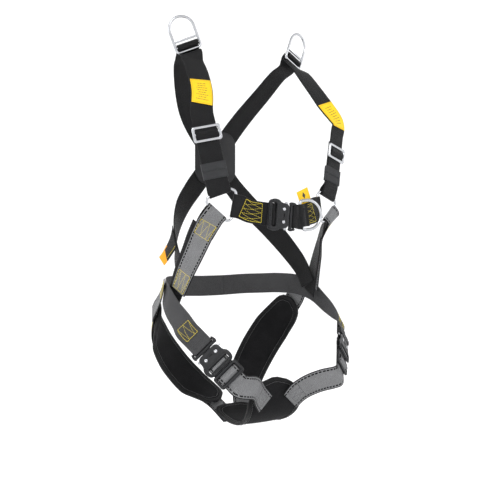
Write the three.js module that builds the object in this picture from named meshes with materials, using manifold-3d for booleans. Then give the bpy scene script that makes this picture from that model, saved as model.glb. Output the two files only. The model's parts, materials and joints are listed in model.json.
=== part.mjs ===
// Full-body safety harness in the shape it takes when worn. Millimetres, +Z up.
// The wearer faces -Y and the wearer's left is +X. The origin is midway between the two places
// where the straps rest on the shoulders.
import * as THREE from 'three';
import { mergeVertices } from 'three/addons/utils/BufferGeometryUtils.js';
import Module from 'manifold-3d';

const wasm = await Module();
wasm.setup();

// ---- driving dimensions ----
const WEB_WIDTH = 45;
const WEB_THICK = 2.2;
const GAP = 0.35;                    // running gap between touching pieces
const LAYER = WEB_THICK + GAP;       // spacing of two webbing layers
const RING = { rod: 2.5, cornerCircle: 24, cornerRadius: 10 };
const SHOULDER_D = {
  width: 52.5, top: 59, rod: 2.75, middleRod: 2.1, bottomBar: -10, cornerRadius: 6,
  flatBar: { low: 10, height: 4, thick: 5.5 },
};
const FRONT_D = { width: 58, depth: 46, rod: 3.2, cornerRadius: 7, openAngle: 12 };
const SLIDER = { width: 57, height: 31, rim: 5.5, bar: 4, thick: 4.5 };
const ADJUSTER = { width: 57, height: 29, rim: 6, bar: 4, thick: 5.5 };
const KEEPER = { height: 15.5, wall: 1.6, spacing: 16 };
const LABEL = { width: 41, thick: 0.8 };
const TAG_WIDTH = 38;
const PLATE = { thick: 2.2, core: 3 };  // buckle side plates, and the tongue and levers between them
const PIVOT = { x: 8, y: 12.6, rod: 2.2, head: 3.6, headThick: 0.9 };  // the levers turn on these posts

const v3 = (x, y, z) => new THREE.Vector3(x, y, z);

// ---- materials ----
function finish(color, roughness, metalness) {
  return new THREE.MeshStandardMaterial({ color, roughness, metalness });
}
const blackWebbing = finish(0x17171a, 0.85, 0);
const greyWebbing = finish(0x8f9193, 0.85, 0);
const darkWebbing = finish(0x3b3c3f, 0.85, 0);
const blackPad = finish(0x0d0d0f, 0.9, 0);
const steel = finish(0xd8dadd, 0.22, 1);
const blackMetal = finish(0x333438, 0.5, 0.6);
const keeperRubber = finish(0x3a3b3d, 0.7, 0);
const yellowLabel = finish(0xffd500, 0.7, 0);
const platePlastic = finish(0x1b1b1d, 0.5, 0);

const harness = new THREE.Group();

function addPiece(name, geometry, material, pose) {
  const mesh = new THREE.Mesh(geometry, material);
  mesh.name = name;
  if (pose) {
    mesh.position.copy(pose.at);
    mesh.quaternion.copy(pose.turn);
  }
  harness.add(mesh);
}

// ---- solids ----
function signedVolume(positions, faces) {
  const a = v3(), b = v3(), c = v3();
  let volume = 0;
  for (let i = 0; i < faces.length; i += 3) {
    a.fromArray(positions, 3 * faces[i]);
    b.fromArray(positions, 3 * faces[i + 1]);
    c.fromArray(positions, 3 * faces[i + 2]);
    volume += a.dot(b.cross(c)) / 6;
  }
  return volume;
}

function solid(positions, faces) {
  const ordered = signedVolume(positions, faces) < 0 ? faces.slice().reverse() : faces;
  const geometry = new THREE.BufferGeometry();
  geometry.setAttribute('position', new THREE.Float32BufferAttribute(positions, 3));
  geometry.setIndex(ordered);
  return geometry;
}

function toManifold(geometry) {
  const bare = geometry.clone();
  bare.deleteAttribute('normal');
  bare.deleteAttribute('uv');
  const merged = mergeVertices(bare, 1e-3);
  return new wasm.Manifold(new wasm.Mesh({
    numProp: 3,
    vertProperties: new Float32Array(merged.attributes.position.array),
    triVerts: new Uint32Array(merged.index.array),
  }));
}

function fromManifold(body) {
  const mesh = body.getMesh();
  const geometry = new THREE.BufferGeometry();
  geometry.setAttribute('position', new THREE.BufferAttribute(new Float32Array(mesh.vertProperties), 3));
  geometry.setIndex(new THREE.BufferAttribute(new Uint32Array(mesh.triVerts), 1));
  return geometry;
}

function join(...geometries) {
  return fromManifold(geometries.map(toManifold).reduce((sum, next) => sum.add(next)));
}

// Stacks equal sections into one closed body; a closed path needs no end caps.
function skin(sections, closed) {
  const sides = sections[0].length;
  const positions = sections.flat().flatMap((p) => p.toArray());
  const faces = [];
  const spans = closed ? sections.length : sections.length - 1;
  for (let i = 0; i < spans; i += 1) {
    const here = i * sides;
    const next = ((i + 1) % sections.length) * sides;
    for (let j = 0; j < sides; j += 1) {
      const k = (j + 1) % sides;
      faces.push(here + j, here + k, next + k, here + j, next + k, next + j);
    }
  }
  if (!closed) {
    const last = (sections.length - 1) * sides;
    for (let j = 1; j < sides - 1; j += 1) {
      faces.push(0, j + 1, j, last, last + j, last + j + 1);
    }
  }
  return solid(positions, faces);
}

// ---- webbing ----
// A route row is [x, y, z, nx, ny, nz, width]: a point on the strap's middle and the way it faces.
function framesOf(rows, steps = 3) {
  const path = new THREE.CatmullRomCurve3(rows.map((r) => v3(r[0], r[1], r[2])), false, 'centripetal');
  const frames = [];
  const count = (rows.length - 1) * steps;
  for (let i = 0; i <= count; i += 1) {
    const u = i / count;
    const k = Math.min(Math.floor(i / steps), rows.length - 2);
    const f = i / steps - k;
    const out = v3(rows[k][3], rows[k][4], rows[k][5]).normalize()
      .lerp(v3(rows[k + 1][3], rows[k + 1][4], rows[k + 1][5]).normalize(), f);
    const along = path.getTangent(u);
    out.addScaledVector(along, -out.dot(along)).normalize();
    const across = along.clone().cross(out);
    const width = (rows[k][6] ?? WEB_WIDTH) * (1 - f) + (rows[k + 1][6] ?? WEB_WIDTH) * f;
    frames.push({ at: path.getPoint(u), along, out, across, width });
  }
  return frames;
}

function corner({ at, out, across }, sideways, outward) {
  return at.clone().addScaledVector(across, sideways).addScaledVector(out, outward);
}

function band(frames, thick = WEB_THICK, lift = 0, width = null) {
  return skin(frames.map((f) => {
    const w = (width ?? f.width) / 2;
    const low = lift - thick / 2;
    const high = lift + thick / 2;
    return [corner(f, w, high), corner(f, -w, high), corner(f, -w, low), corner(f, w, low)];
  }), false);
}

// The frame at a place on a route, counted in rows.
function frameAt(rows, place) {
  const fine = 20;
  return framesOf(rows, fine)[Math.round(place * fine)];
}

// A pose whose x runs along the strap, y across it and z out of it, raised off its middle.
function poseOn(frame, lift) {
  const y = frame.out.clone().cross(frame.along);
  const turn = new THREE.Quaternion().setFromRotationMatrix(
    new THREE.Matrix4().makeBasis(frame.along, y, frame.out));
  return { at: frame.at.clone().addScaledVector(frame.out, lift), turn };
}

function mirrored(rows, side) {
  return rows.map(([x, y, z, nx, ny, nz, ...rest]) => [side * x, y, z, side * nx, ny, nz, ...rest]);
}

// ---- rods, plates and frames ----
function arc(cx, cy, radius, from, to, steps) {
  return Array.from({ length: steps + 1 }, (_, i) => {
    const a = THREE.MathUtils.degToRad(from + (to - from) * i / steps);
    return new THREE.Vector2(cx + radius * Math.cos(a), cy + radius * Math.sin(a));
  });
}

// A rod bent round a closed flat outline.
function hoop(outline, radius, sides = 8) {
  const n = outline.length;
  const sections = outline.map((p, i) => {
    const way = outline[(i + 1) % n].clone().sub(outline[(i + n - 1) % n]).normalize();
    return Array.from({ length: sides }, (_, j) => {
      const a = (j + 0.5) * 2 * Math.PI / sides;
      const sideways = radius * Math.cos(a);
      return v3(p.x + way.y * sideways, p.y - way.x * sideways, radius * Math.sin(a));
    });
  });
  return skin(sections, true);
}

function rod(x0, x1, y, radius) {
  const geometry = new THREE.CylinderGeometry(radius, radius, x1 - x0, 8);
  geometry.rotateZ(Math.PI / 2);
  geometry.translate((x0 + x1) / 2, y, 0);
  return geometry;
}

function roundedBox(shape, cx, cy, w, h, r) {
  const corners = [[1, 1, 0], [-1, 1, 90], [-1, -1, 180], [1, -1, 270]];
  const points = corners.flatMap(([sx, sy, a]) =>
    arc(cx + sx * (w / 2 - r), cy + sy * (h / 2 - r), r, a, a + 90, 3));
  shape.setFromPoints(points);
  return shape;
}

function slab(shape, low, high) {
  const options = { depth: high - low, bevelEnabled: false, curveSegments: 5 };
  const geometry = new THREE.ExtrudeGeometry(shape, options);
  geometry.translate(0, 0, low);
  return geometry;
}

// A frame with one middle bar: x along the strap, y across it, standing on z = 0.
function threeBar({ width, height, rim, bar, thick }) {
  const shape = roundedBox(new THREE.Shape(), 0, 0, height, width, 5);
  const slot = (height - 2 * rim - bar) / 2;
  for (const way of [-1, 1]) {
    shape.holes.push(roundedBox(new THREE.Path(), way * (bar + slot) / 2, 0, slot, width - 2 * rim, 1.5));
  }
  return slab(shape, 0, thick);
}

// ---- triangular rings ----
function ringFrame(side) {
  const at = v3(side * 124, -122, -315);
  const x = v3(side * 55, 14, -20).normalize();
  const out = v3(side * 0.28, -0.96, 0);
  out.addScaledVector(x, -out.dot(x)).normalize();
  const y = x.clone().cross(out).multiplyScalar(-side);
  return { at, x, y, out };
}

function ringOutline() {
  return [30, 150, 270].flatMap((a) => {
    const r = THREE.MathUtils.degToRad(a);
    return arc(RING.cornerCircle * Math.cos(r), RING.cornerCircle * Math.sin(r),
      RING.cornerRadius, a - 60, a + 60, 4);
  });
}

// Rows of a strap that comes in on the face, bends round one side of the ring and goes back behind.
function ringLoop(ring, angle, lead) {
  const a = THREE.MathUtils.degToRad(angle);
  const away = ring.x.clone().multiplyScalar(Math.cos(a)).addScaledVector(ring.y, Math.sin(a));
  const reach = RING.cornerCircle / 2 + RING.cornerRadius;
  const wrap = RING.rod + 1.5 * GAP + WEB_THICK / 2;
  const middle = ring.at.clone().addScaledVector(away, reach);
  const row = (out, off) => {
    const p = middle.clone().addScaledVector(ring.out, out).addScaledVector(away, off);
    return p.toArray();
  };
  const face = ring.out.toArray();
  const turned = (deg) => {
    const t = THREE.MathUtils.degToRad(deg);
    const n = ring.out.clone().multiplyScalar(Math.cos(t)).addScaledVector(away, -Math.sin(t));
    const p = middle.clone().addScaledVector(n, wrap);
    return [...p.toArray(), ...n.toArray()];
  };
  return [
    [...row(wrap, lead), ...face],
    turned(0), turned(45), turned(90), turned(135), turned(180),
    [...row(-wrap, lead), ...face.map((c) => -c)],
  ];
}

function buildRing(side, label) {
  const ring = ringFrame(side);
  const turn = new THREE.Quaternion().setFromRotationMatrix(
    new THREE.Matrix4().makeBasis(ring.x, ring.y, ring.x.clone().cross(ring.y)));
  addPiece(`ring_${label}`, hoop(ringOutline(), RING.rod), steel, { at: ring.at, turn });
  return ring;
}

// ---- shoulder: D, strap, slider, keepers, label ----
// Places along the front strap are counted in rows; the left side is adjusted a little lower.
const SLIDER_PLACE = { left: 5.9, right: 4.85 };
const KEEPER_PLACE = 8.11;
const LABEL_SPAN = { left: [12, 21], right: [9, 18] };  // in sixths of a row
// The left strap is turned in towards the neck between the shoulder and the chest, in degrees at each row.
const LEFT_TURN = [4, 12, 15];
// Rows are for the wearer's left and are mirrored for the right.
function straight(from, to, facing, count) {
  return Array.from({ length: count + 1 }, (_, i) => [
    ...v3(...from).lerp(v3(...to), i / count).toArray(), ...facing]);
}

// Over the chest the strap runs straight; the left one starts a little further out.
const CHEST_TOP_X = { left: 170, right: 163 };

function chestStraight(side) {
  const x = CHEST_TOP_X[side > 0 ? 'left' : 'right'];
  return mirrored(straight([x, -107.3, -142.4], [139.6, -123.5, -272], [0.3, -0.95, 0.08], 6), side);
}

const SHOULDER_FRONT = [
  [136, -24, -24, 0.1, -0.6, 0.8],
  [140, -50, -52, 0.15, -0.72, 0.68],
  [150.5, -85.5, -98, 0.23, -0.88, 0.4],
];
const SHOULDER_BACK = [
  [128, 18, -9, 0.15, 0.45, 0.9],
  [120, 40, -22, 0.1, 0.6, 0.8],
  [100, 74, -62, 0.1, 0.8, 0.55],
  [72, 104, -108, 0.05, 0.95, 0.3],
  [45, 114, -146, 0, 0.99, 0.1],
  [22, 114, -176, 0, 1, 0],
  [6, 114, -197, 0, 1, 0],
];

// Where two straps cross or lap on the back, the outer one is raised by a layer.
function overCrossing(rows, outer) {
  const clear = 60;
  return rows.map((r) => {
    const rise = outer ? LAYER * THREE.MathUtils.clamp((clear + 30 - Math.abs(r[0])) / 30, 0, 1) : 0;
    return [r[0], r[1] + rise, ...r.slice(2)];
  });
}

function shoulderDFrame(side) {
  const x = v3(side * 43, 13, -18).normalize();
  const up = v3(side * 14, 2, 44);
  up.addScaledVector(x, -up.dot(x)).normalize();
  const out = x.clone().cross(up).multiplyScalar(side);
  return { at: v3(side * 133, 0, 9), x, up, out };
}

// The webbing rises behind the bottom bar, passes over the middle bar and goes back under the flat bar.
function shoulderHump(frame) {
  const row = (up, out, nu, no) => {
    const p = frame.at.clone().addScaledVector(frame.up, up).addScaledVector(frame.out, out);
    const n = frame.up.clone().multiplyScalar(nu).addScaledVector(frame.out, no);
    return [...p.toArray(), ...n.toArray()];
  };
  return [
    row(-16.5, 4, 0.9, 0.4),
    row(-15.6, -4, 1, -0.3),
    row(-10, -7.4, 0.2, -1),
    row(-5.6, -2.6, -0.9, 0.2),
    row(-3.4, 3.4, -0.6, 0.8),
    row(1.5, 4.6, 0.3, 1),
    row(5, 0.5, 1, 0.4),
    row(4.2, -7, 0.9, -0.3),
  ];
}

function turnIn(rows) {
  LEFT_TURN.forEach((degrees, i) => {
    const facing = v3(...rows[i].slice(3)).applyAxisAngle(v3(0, 0, 1), -THREE.MathUtils.degToRad(degrees));
    rows[i].splice(3, 3, ...facing.toArray());
  });
}

function shoulderStrapRows(side, ring) {
  const loop = ringLoop(ring, 90, 8);
  const top = shoulderHump(shoulderDFrame(side));
  const chest = chestStraight(side);
  const front = [...mirrored(SHOULDER_FRONT, side), ...chest];
  if (side > 0) turnIn(front);
  const under = chest.slice().reverse().map((r) => {
    const n = v3(r[3], r[4], r[5]).normalize();
    const p = v3(r[0], r[1], r[2]).addScaledVector(n, -LAYER);
    return [...p.toArray(), ...n.negate().toArray()];
  });
  const back = overCrossing(mirrored(SHOULDER_BACK, side), side < 0);
  return { front: [...front, ...loop, ...under.slice(0, 5)], top, back };
}

function shoulderD(side, label) {
  const { width, top, rod: radius, middleRod, flatBar, bottomBar, cornerRadius } = SHOULDER_D;
  const half = width / 2;
  const inset = half - cornerRadius;
  const outline = [
    ...arc(inset, bottomBar + cornerRadius, cornerRadius, -90, 0, 3),
    ...arc(0, top - half, half, 0, 180, 12),
    ...arc(-inset, bottomBar + cornerRadius, cornerRadius, 180, 270, 3),
  ];
  const frame = shoulderDFrame(side);
  const z = frame.x.clone().cross(frame.up);
  const turn = new THREE.Quaternion().setFromRotationMatrix(
    new THREE.Matrix4().makeBasis(frame.x, frame.up, z));
  const flat = new THREE.BoxGeometry(width, flatBar.height, flatBar.thick);
  flat.translate(0, flatBar.low + flatBar.height / 2, 0);
  const body = join(hoop(outline, radius), rod(-half, half, 0, middleRod), flat);
  addPiece(`shoulder_d_${label}`, body, steel, { at: frame.at, turn });
}

function keeper(frame) {
  const inner = { w: WEB_WIDTH + 2 * GAP, h: WEB_THICK + LAYER + 2 * GAP };
  const outer = { w: inner.w + 2 * KEEPER.wall, h: inner.h + 2 * KEEPER.wall };
  const shape = roundedBox(new THREE.Shape(), 0, 0, outer.h, outer.w, 1.5);
  shape.holes.push(roundedBox(new THREE.Path(), 0, 0, inner.h, inner.w, 0.4));
  const geometry = slab(shape, -KEEPER.height / 2, KEEPER.height / 2);
  const turn = new THREE.Quaternion().setFromRotationMatrix(
    new THREE.Matrix4().makeBasis(frame.out, frame.across, frame.along));
  return { geometry, pose: { at: frame.at.clone().addScaledVector(frame.out, -LAYER / 2), turn } };
}

function buildShoulder(side, label, ring) {
  const { front, top, back } = shoulderStrapRows(side, ring);
  const rows = [...back.slice().reverse(), ...top.slice().reverse(), ...front];
  addPiece(`shoulder_strap_${label}`, band(framesOf(rows)), blackWebbing);
  shoulderD(side, label);
  const slider = frameAt(front, SLIDER_PLACE[label]);
  addPiece(`slider_${label}`, threeBar(SLIDER), steel, poseOn(slider, WEB_THICK / 2 + GAP));
  const pair = frameAt(front, KEEPER_PLACE);
  ['upper', 'lower'].forEach((name, i) => {
    const at = pair.at.clone().addScaledVector(pair.along, (i - 0.5) * KEEPER.spacing);
    const { geometry, pose } = keeper({ ...pair, at });
    addPiece(`keeper_${name}_${label}`, geometry, keeperRubber, pose);
  });
  const labelFrames = framesOf(front, 6).slice(...LABEL_SPAN[label]);
  const lift = WEB_THICK / 2 + 2 * GAP + LABEL.thick / 2;
  addPiece(`shoulder_label_${label}`, band(labelFrames, LABEL.thick, lift, LABEL.width), yellowLabel);
}

// ---- buckles: x from the housing to the tongue, y across, z out ----
function mirrorOutline(half) {
  return [...half, ...half.slice().reverse().map((p) => new THREE.Vector2(p.x, -p.y))];
}

function housingOutline() {
  const half = new THREE.Path();
  half.moveTo(20, 0);
  half.lineTo(20, 14);
  half.quadraticCurveTo(20, 24.5, 9, 24.5);
  half.quadraticCurveTo(2, 24.5, -1, 28);
  half.quadraticCurveTo(-4, 31, -11, 31);
  half.quadraticCurveTo(-24, 31, -24, 19);
  half.lineTo(-24, 0);
  return mirrorOutline(half.getPoints(4).slice(1, -1));
}

function housingPlate(low, high, postHole) {
  const shape = new THREE.Shape(housingOutline());
  shape.holes.push(roundedBox(new THREE.Path(), -13.5, 0, 10, 47, 3));
  if (postHole) {
    for (const way of [-1, 1]) {
      shape.holes.push(new THREE.Path(arc(PIVOT.x, way * PIVOT.y, postHole, 0, 330, 11)));
    }
  }
  return slab(shape, low, high);
}

function postAt(way, radius, low, high) {
  const geometry = new THREE.CylinderGeometry(radius, radius, high - low, 12);
  geometry.rotateX(Math.PI / 2);
  geometry.translate(PIVOT.x, way * PIVOT.y, (low + high) / 2);
  return geometry;
}

function lever(way, low, high) {
  const points = [
    [-3, 8.9], [0.4, 8.9], [1.4, 9.1], [8, 9.1], [12.2, 12], [16, 15], [17, 27.5],
    [12, 28], [10.5, 17.5], [8, 16.8], [2, 16], [-3, 13],
  ].map(([x, y]) => new THREE.Vector2(x, way * y));
  const shape = new THREE.Shape(points);
  shape.holes.push(new THREE.Path(arc(PIVOT.x, way * PIVOT.y, PIVOT.rod + 0.3, 0, 330, 11)));
  return slab(shape, low, high);
}

function tongue(low, high) {
  const half = new THREE.Path();
  half.moveTo(-7, 0);
  half.lineTo(-7, 6);
  half.lineTo(-5, 8);
  half.lineTo(-4, 8);
  half.lineTo(-4, 5.2);
  half.lineTo(1.2, 5.2);
  half.lineTo(1.2, 8);
  half.lineTo(20.5, 8);
  half.quadraticCurveTo(23, 20, 20.5, 26);
  half.quadraticCurveTo(24, 30, 30, 28);
  half.quadraticCurveTo(36, 25, 37, 0);
  const shape = new THREE.Shape(mirrorOutline(half.getPoints(4).slice(1, -1)));
  shape.holes.push(roundedBox(new THREE.Path(), 28.5, 0, 4.4, 46, 2));
  return slab(shape, low, high);
}

function buildBuckle(label, pose) {
  const back = PLATE.thick;
  const low = back + GAP;
  const high = low + PLATE.core;
  const front = high + GAP;
  const top = front + PLATE.thick;
  const posts = [-1, 1].flatMap((way) => [
    postAt(way, PIVOT.rod, back / 2, top + GAP + PIVOT.headThick),
    postAt(way, PIVOT.head, top + GAP, top + GAP + PIVOT.headThick),
  ]);
  addPiece(`${label}_back_plate`, join(housingPlate(0, back, 0), ...posts), blackMetal, pose);
  addPiece(`${label}_front_plate`, housingPlate(front, top, PIVOT.rod + GAP), blackMetal, pose);
  addPiece(`${label}_lever_a`, lever(1, low, high), steel, pose);
  addPiece(`${label}_lever_b`, lever(-1, low, high), steel, pose);
  addPiece(`${label}_tongue`, tongue(low, high), blackMetal, pose);
}

// ---- chest strap, its buckle, front D and tag ----
const CHEST_RIGHT = [
  [-78, -142.5, -329, -0.15, -1, 0.05],
  [-62, -146.5, -332, -0.05, -1, 0.05],
  [-44, -149, -334, 0, -1, 0.05],
  [-22, -152, -336.5, 0, -1, 0.05],
  [-2, -154.7, -338.8, 0, -1, 0.05],
];
const CHEST_LEFT = [
  [16, -155.4, -338.9, 0, -1, 0.05],
  [26, -154.5, -338, 0, -1, 0.05],
  [44, -152, -336, 0, -1, 0.05],
  [62, -147.5, -332.5, 0.05, -1, 0.05],
  [78, -142.5, -329, 0.15, -1, 0.05],
];

function lifted(rows, lift) {
  return rows.map((r) => {
    const n = v3(r[3], r[4], r[5]).normalize();
    return [...v3(r[0], r[1], r[2]).addScaledVector(n, lift).toArray(), r[3], r[4], r[5], ...r.slice(6)];
  });
}

function flipped(rows) {
  return rows.map((r) => [r[0], r[1], r[2], -r[3], -r[4], -r[5], ...r.slice(6)]);
}

// A strap with one end looped round a ring side and the spare layer sewn down behind it.
function loopedStrap(rows, loop, sewn) {
  const behind = flipped(lifted(rows.slice(0, sewn), -LAYER));
  return [...behind.reverse(), ...loop.slice().reverse(), ...rows];
}

function frontDOutline() {
  const { width, depth, cornerRadius } = FRONT_D;
  const half = width / 2;
  const inset = half - cornerRadius;
  return [
    ...arc(inset, cornerRadius, cornerRadius, -90, 0, 3),
    ...arc(0, depth - half, half, 0, 180, 12),
    ...arc(-inset, cornerRadius, cornerRadius, 180, 270, 3),
  ];
}

function buildChest(rings) {
  const right = loopedStrap(CHEST_RIGHT, ringLoop(rings.right, 210, 12), 2);
  addPiece('chest_strap_right', band(framesOf(right)), blackWebbing);
  const left = loopedStrap(CHEST_LEFT.slice().reverse(), ringLoop(rings.left, 210, 12), 2);
  addPiece('chest_strap_left', band(framesOf(left)), blackWebbing);
  const at = frameAt(CHEST_RIGHT, 3.2);
  buildBuckle('chest', poseOn(at, WEB_THICK / 2 + GAP));

  const strap = frameAt(CHEST_LEFT, 1.45);
  const lift = WEB_THICK / 2 + GAP + FRONT_D.rod;
  const pose = poseOn(strap, lift);
  const openAngle = THREE.MathUtils.degToRad(FRONT_D.openAngle);
  const open = new THREE.Quaternion().setFromAxisAngle(v3(1, 0, 0), openAngle);
  const lie = new THREE.Quaternion().setFromAxisAngle(v3(0, 0, 1), -Math.PI / 2);
  addPiece('front_d', hoop(frontDOutline(), FRONT_D.rod), steel,
    { at: pose.at, turn: pose.turn.clone().multiply(lie).multiply(open) });

  // The loop that holds the D lies on the strap and rises over the D's bar.
  const peak = 2 * FRONT_D.rod + 2 * GAP;
  const rises = [[-22, 0], [-12, 0.64], [-6, 5.1], [0, peak], [6, 5.1], [12, 0.64], [22, 0]];
  const loop = rises.map(([x, rise]) => {
    const p = strap.at.clone().addScaledVector(strap.along, x).addScaledVector(strap.out, LAYER + rise);
    return [...p.toArray(), ...strap.out.toArray()];
  });
  addPiece('front_d_loop', band(framesOf(loop)), blackWebbing);

  // The tag stands up from behind the strap: sideways, up and back from its foot.
  const sewn = frameAt(CHEST_LEFT, 3.6);
  const foot = sewn.at.clone().addScaledVector(sewn.out, -WEB_THICK / 2 - LAYER - 12);
  const tag = [[4, -14, 0], [3, 8, 0.3], [-1, 28, 0.9], [-8, 48, 1.8]].map(([x, up, back]) => [
    foot.x + x, foot.y + back, foot.z + up, 0.25, -1, 0.1, TAG_WIDTH]);
  addPiece('chest_tag', band(framesOf(tag, 2), LABEL.thick), yellowLabel);
}

// ---- sides, hips and legs ----
const SIDE_STRAP = [
  [147, -86, -370, 0.7, -0.7, 0.1],
  [155, -64, -410, 0.85, -0.5, 0.1],
  [163, -42, -450, 0.93, -0.35, 0.1],
  [169, -24, -487, 0.97, -0.2, 0.1],
];
const BACK_STRAP = [
  [-6, 114, -213, 0, 1, 0],
  [-24, 114, -236, 0, 1, 0],
  [-50, 114, -268, 0, 1, 0.05],
  [-88, 103, -314, -0.3, 0.95, 0.05],
  [-122, 70, -362, -0.7, 0.7, 0],
  [-143, 32, -408, -0.93, 0.35, 0],
  [-153, -2, -448, -0.98, 0.1, 0],
  [-159, -18, -484, -0.98, 0, 0],
];
// The stretch over the thigh that carries the leg buckle and its adjuster is a straight line.
const ADJUSTER_PLACE = 5;
const THIGH_LINE = { at: [153, -136, -609], along: [-35, -41, -51], out: [0.6, -0.78, 0.22] };

function legLine(from, to, count) {
  const way = v3(...THIGH_LINE.along).normalize();
  const end = (t) => v3(...THIGH_LINE.at).addScaledVector(way, t).toArray();
  return straight(end(from), end(to), THIGH_LINE.out, count);
}

const HIP_STRAP = [
  [-24, 118, -488, 0, 1, 0.08],
  [28, 118, -488, 0, 1, 0.08],
  [76, 112, -486, 0.35, 0.93, 0.1],
  [112, 94, -485, 0.6, 0.8, 0.1],
  [142, 70, -484, 0.8, 0.6, 0.1],
  [168, 34, -487, 0.95, 0.3, 0.1],
  [182, -2, -500, 1, -0.05, 0.1],
  [187, -36, -522, 0.97, -0.3, 0.1],
  [188, -68, -540, 0.85, -0.5, 0.15],
  ...legLine(-76, -22, 3),
];
const LEG_STRAP = [
  ...legLine(-10, 70, 8),
  [105, -176, -661, 0.1, -1, 0],
  [84, -168, -665, -0.3, -0.95, 0],
  [64, -151, -675, -0.5, -0.85, -0.1],
  [47, -134, -690, -0.4, -0.9, -0.15],
  [30, -127.5, -708, -0.1, -1, -0.1],
];
const CROTCH_PAD = [
  [0, -117, -660, 0, -1, 0.05, 58],
  [0, -120, -682, 0, -1, -0.02, 102],
  [0, -118, -706, 0, -0.97, -0.2, 128],
  [0, -105, -732, 0, -0.75, -0.6, 122],
  [0, -78, -752, 0, -0.35, -0.93, 108],
  [0, -40, -760, 0, -0.05, -1, 98],
  [0, 4, -756, 0, 0.1, -1, 92],
  [0, 44, -740, 0, 0.5, -0.9, 100],
];
const REAR_PAD = [
  [32, 44, -727, 0.05, 0.5, -0.86, 58],
  [50, 72, -710, 0.15, 0.75, -0.6, 68],
  [72, 96, -690, 0.25, 0.93, -0.3, 76],
  [112, 110, -640, 0.45, 0.88, -0.15, 80],
  [145, 102, -590, 0.68, 0.73, 0, 80],
  [163, 78, -552, 0.85, 0.5, 0, 70],
  [168, 54, -522, 0.93, 0.35, 0, 54],
];

function buildBody(side, label, ring) {
  const sideRows = loopedStrap(mirrored(SIDE_STRAP, side), ringLoop(ring, 330, 14), 1);
  addPiece(`side_strap_${label}`, band(framesOf(sideRows)), greyWebbing);
  const backRows = overCrossing(mirrored(BACK_STRAP, -side), side > 0);
  addPiece(`back_strap_${label}`, band(framesOf(backRows)), blackWebbing);
  const hip = overCrossing(mirrored(HIP_STRAP, side), side > 0);
  addPiece(`hip_strap_${label}`, band(framesOf(hip)), darkWebbing);
  const leg = mirrored(LEG_STRAP, side);
  addPiece(`leg_strap_${label}`, band(framesOf(leg)), greyWebbing);
  addPiece(`rear_pad_${label}`, band(framesOf(mirrored(REAR_PAD, side)), 8), blackPad);
  const middle = framesOf(mirrored(legLine(0, -10, 1), side), 1)[0];
  buildBuckle(`leg_${label}`, poseOn(middle, WEB_THICK / 2 + GAP));
  const adjuster = frameAt(leg, ADJUSTER_PLACE);
  addPiece(`adjuster_${label}`, threeBar(ADJUSTER), blackMetal, poseOn(adjuster, WEB_THICK / 2 + GAP));
}

// ---- dorsal plate and D ----
const DORSAL = {
  middle: v3(0, 114, -205), inner: { w: 104, h: 116 }, outer: { w: 94, h: 106 }, wall: 3,
  post: 4, postX: 38, postZ: 46, barDrop: 14,
  lug: { x: 15, width: 9, depth: 13, height: 11.5, holeDrop: 6.3, sink: 1 },
};

function ellipsePlate({ w, h }) {
  const shape = new THREE.Shape();
  shape.absellipse(0, 0, w / 2, h / 2, 0, 2 * Math.PI, false, 0);
  return shape;
}

function dorsalLug() {
  const { width, depth, height, holeDrop } = DORSAL.lug;
  const shape = roundedBox(new THREE.Shape(), 0, height / 2, depth, height, 3);
  shape.holes.push(new THREE.Path(arc(0, height - holeDrop, FRONT_D.rod + GAP, 0, 330, 11)));
  const geometry = slab(shape, -width / 2, width / 2);
  geometry.rotateY(Math.PI / 2);
  geometry.rotateX(Math.PI / 2);
  return geometry;
}

function buildDorsal() {
  const { inner, outer, wall, post, postX, postZ, barDrop, lug } = DORSAL;
  const under = -WEB_THICK / 2 - GAP;
  const over = LAYER + WEB_THICK / 2 + 2 * GAP;
  const pads = [
    slab(roundedBox(new THREE.Shape(), 0, 0, inner.w, inner.h, 30), under - wall, under),
    slab(ellipsePlate(outer), over, over + wall),
  ];
  const posts = [[postX, 0], [-postX, 0], [0, postZ], [0, -postZ]].map(([x, z]) => {
    const geometry = new THREE.CylinderGeometry(post, post, over - under + wall, 12);
    geometry.rotateX(Math.PI / 2);
    geometry.translate(x, z, (over + under) / 2);
    return geometry;
  });
  const lugFoot = over + wall - lug.sink;
  const lugs = [-1, 1].map((way) => {
    const geometry = dorsalLug();
    geometry.translate(way * lug.x, -barDrop, lugFoot);
    return geometry;
  });
  const turn = new THREE.Quaternion().setFromRotationMatrix(
    new THREE.Matrix4().makeBasis(v3(-1, 0, 0), v3(0, 0, 1), v3(0, 1, 0)));
  addPiece('dorsal_plate', join(...pads, ...posts, ...lugs), platePlastic, { at: DORSAL.middle, turn });
  const bar = DORSAL.middle.clone().add(v3(0, lugFoot + lug.height - lug.holeDrop, -barDrop));
  const hang = new THREE.Quaternion().setFromRotationMatrix(
    new THREE.Matrix4().makeBasis(v3(1, 0, 0), v3(0, 0, -1), v3(0, 1, 0)));
  addPiece('dorsal_d', hoop(frontDOutline(), FRONT_D.rod), steel, { at: bar, turn: hang });
}

const rings = { left: buildRing(1, 'left'), right: buildRing(-1, 'right') };
buildShoulder(1, 'left', rings.left);
buildShoulder(-1, 'right', rings.right);
buildChest(rings);
buildBody(1, 'left', rings.left);
buildBody(-1, 'right', rings.right);
buildDorsal();
addPiece('crotch_pad', band(framesOf(CROTCH_PAD), 6), blackPad);

export default harness;
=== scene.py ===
"""A full-body safety harness: webbing, stitching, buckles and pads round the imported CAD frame. Metres."""
import json
import math
import random

import bmesh
import bpy
import numpy as np
from mathutils import Matrix, Vector


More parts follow.
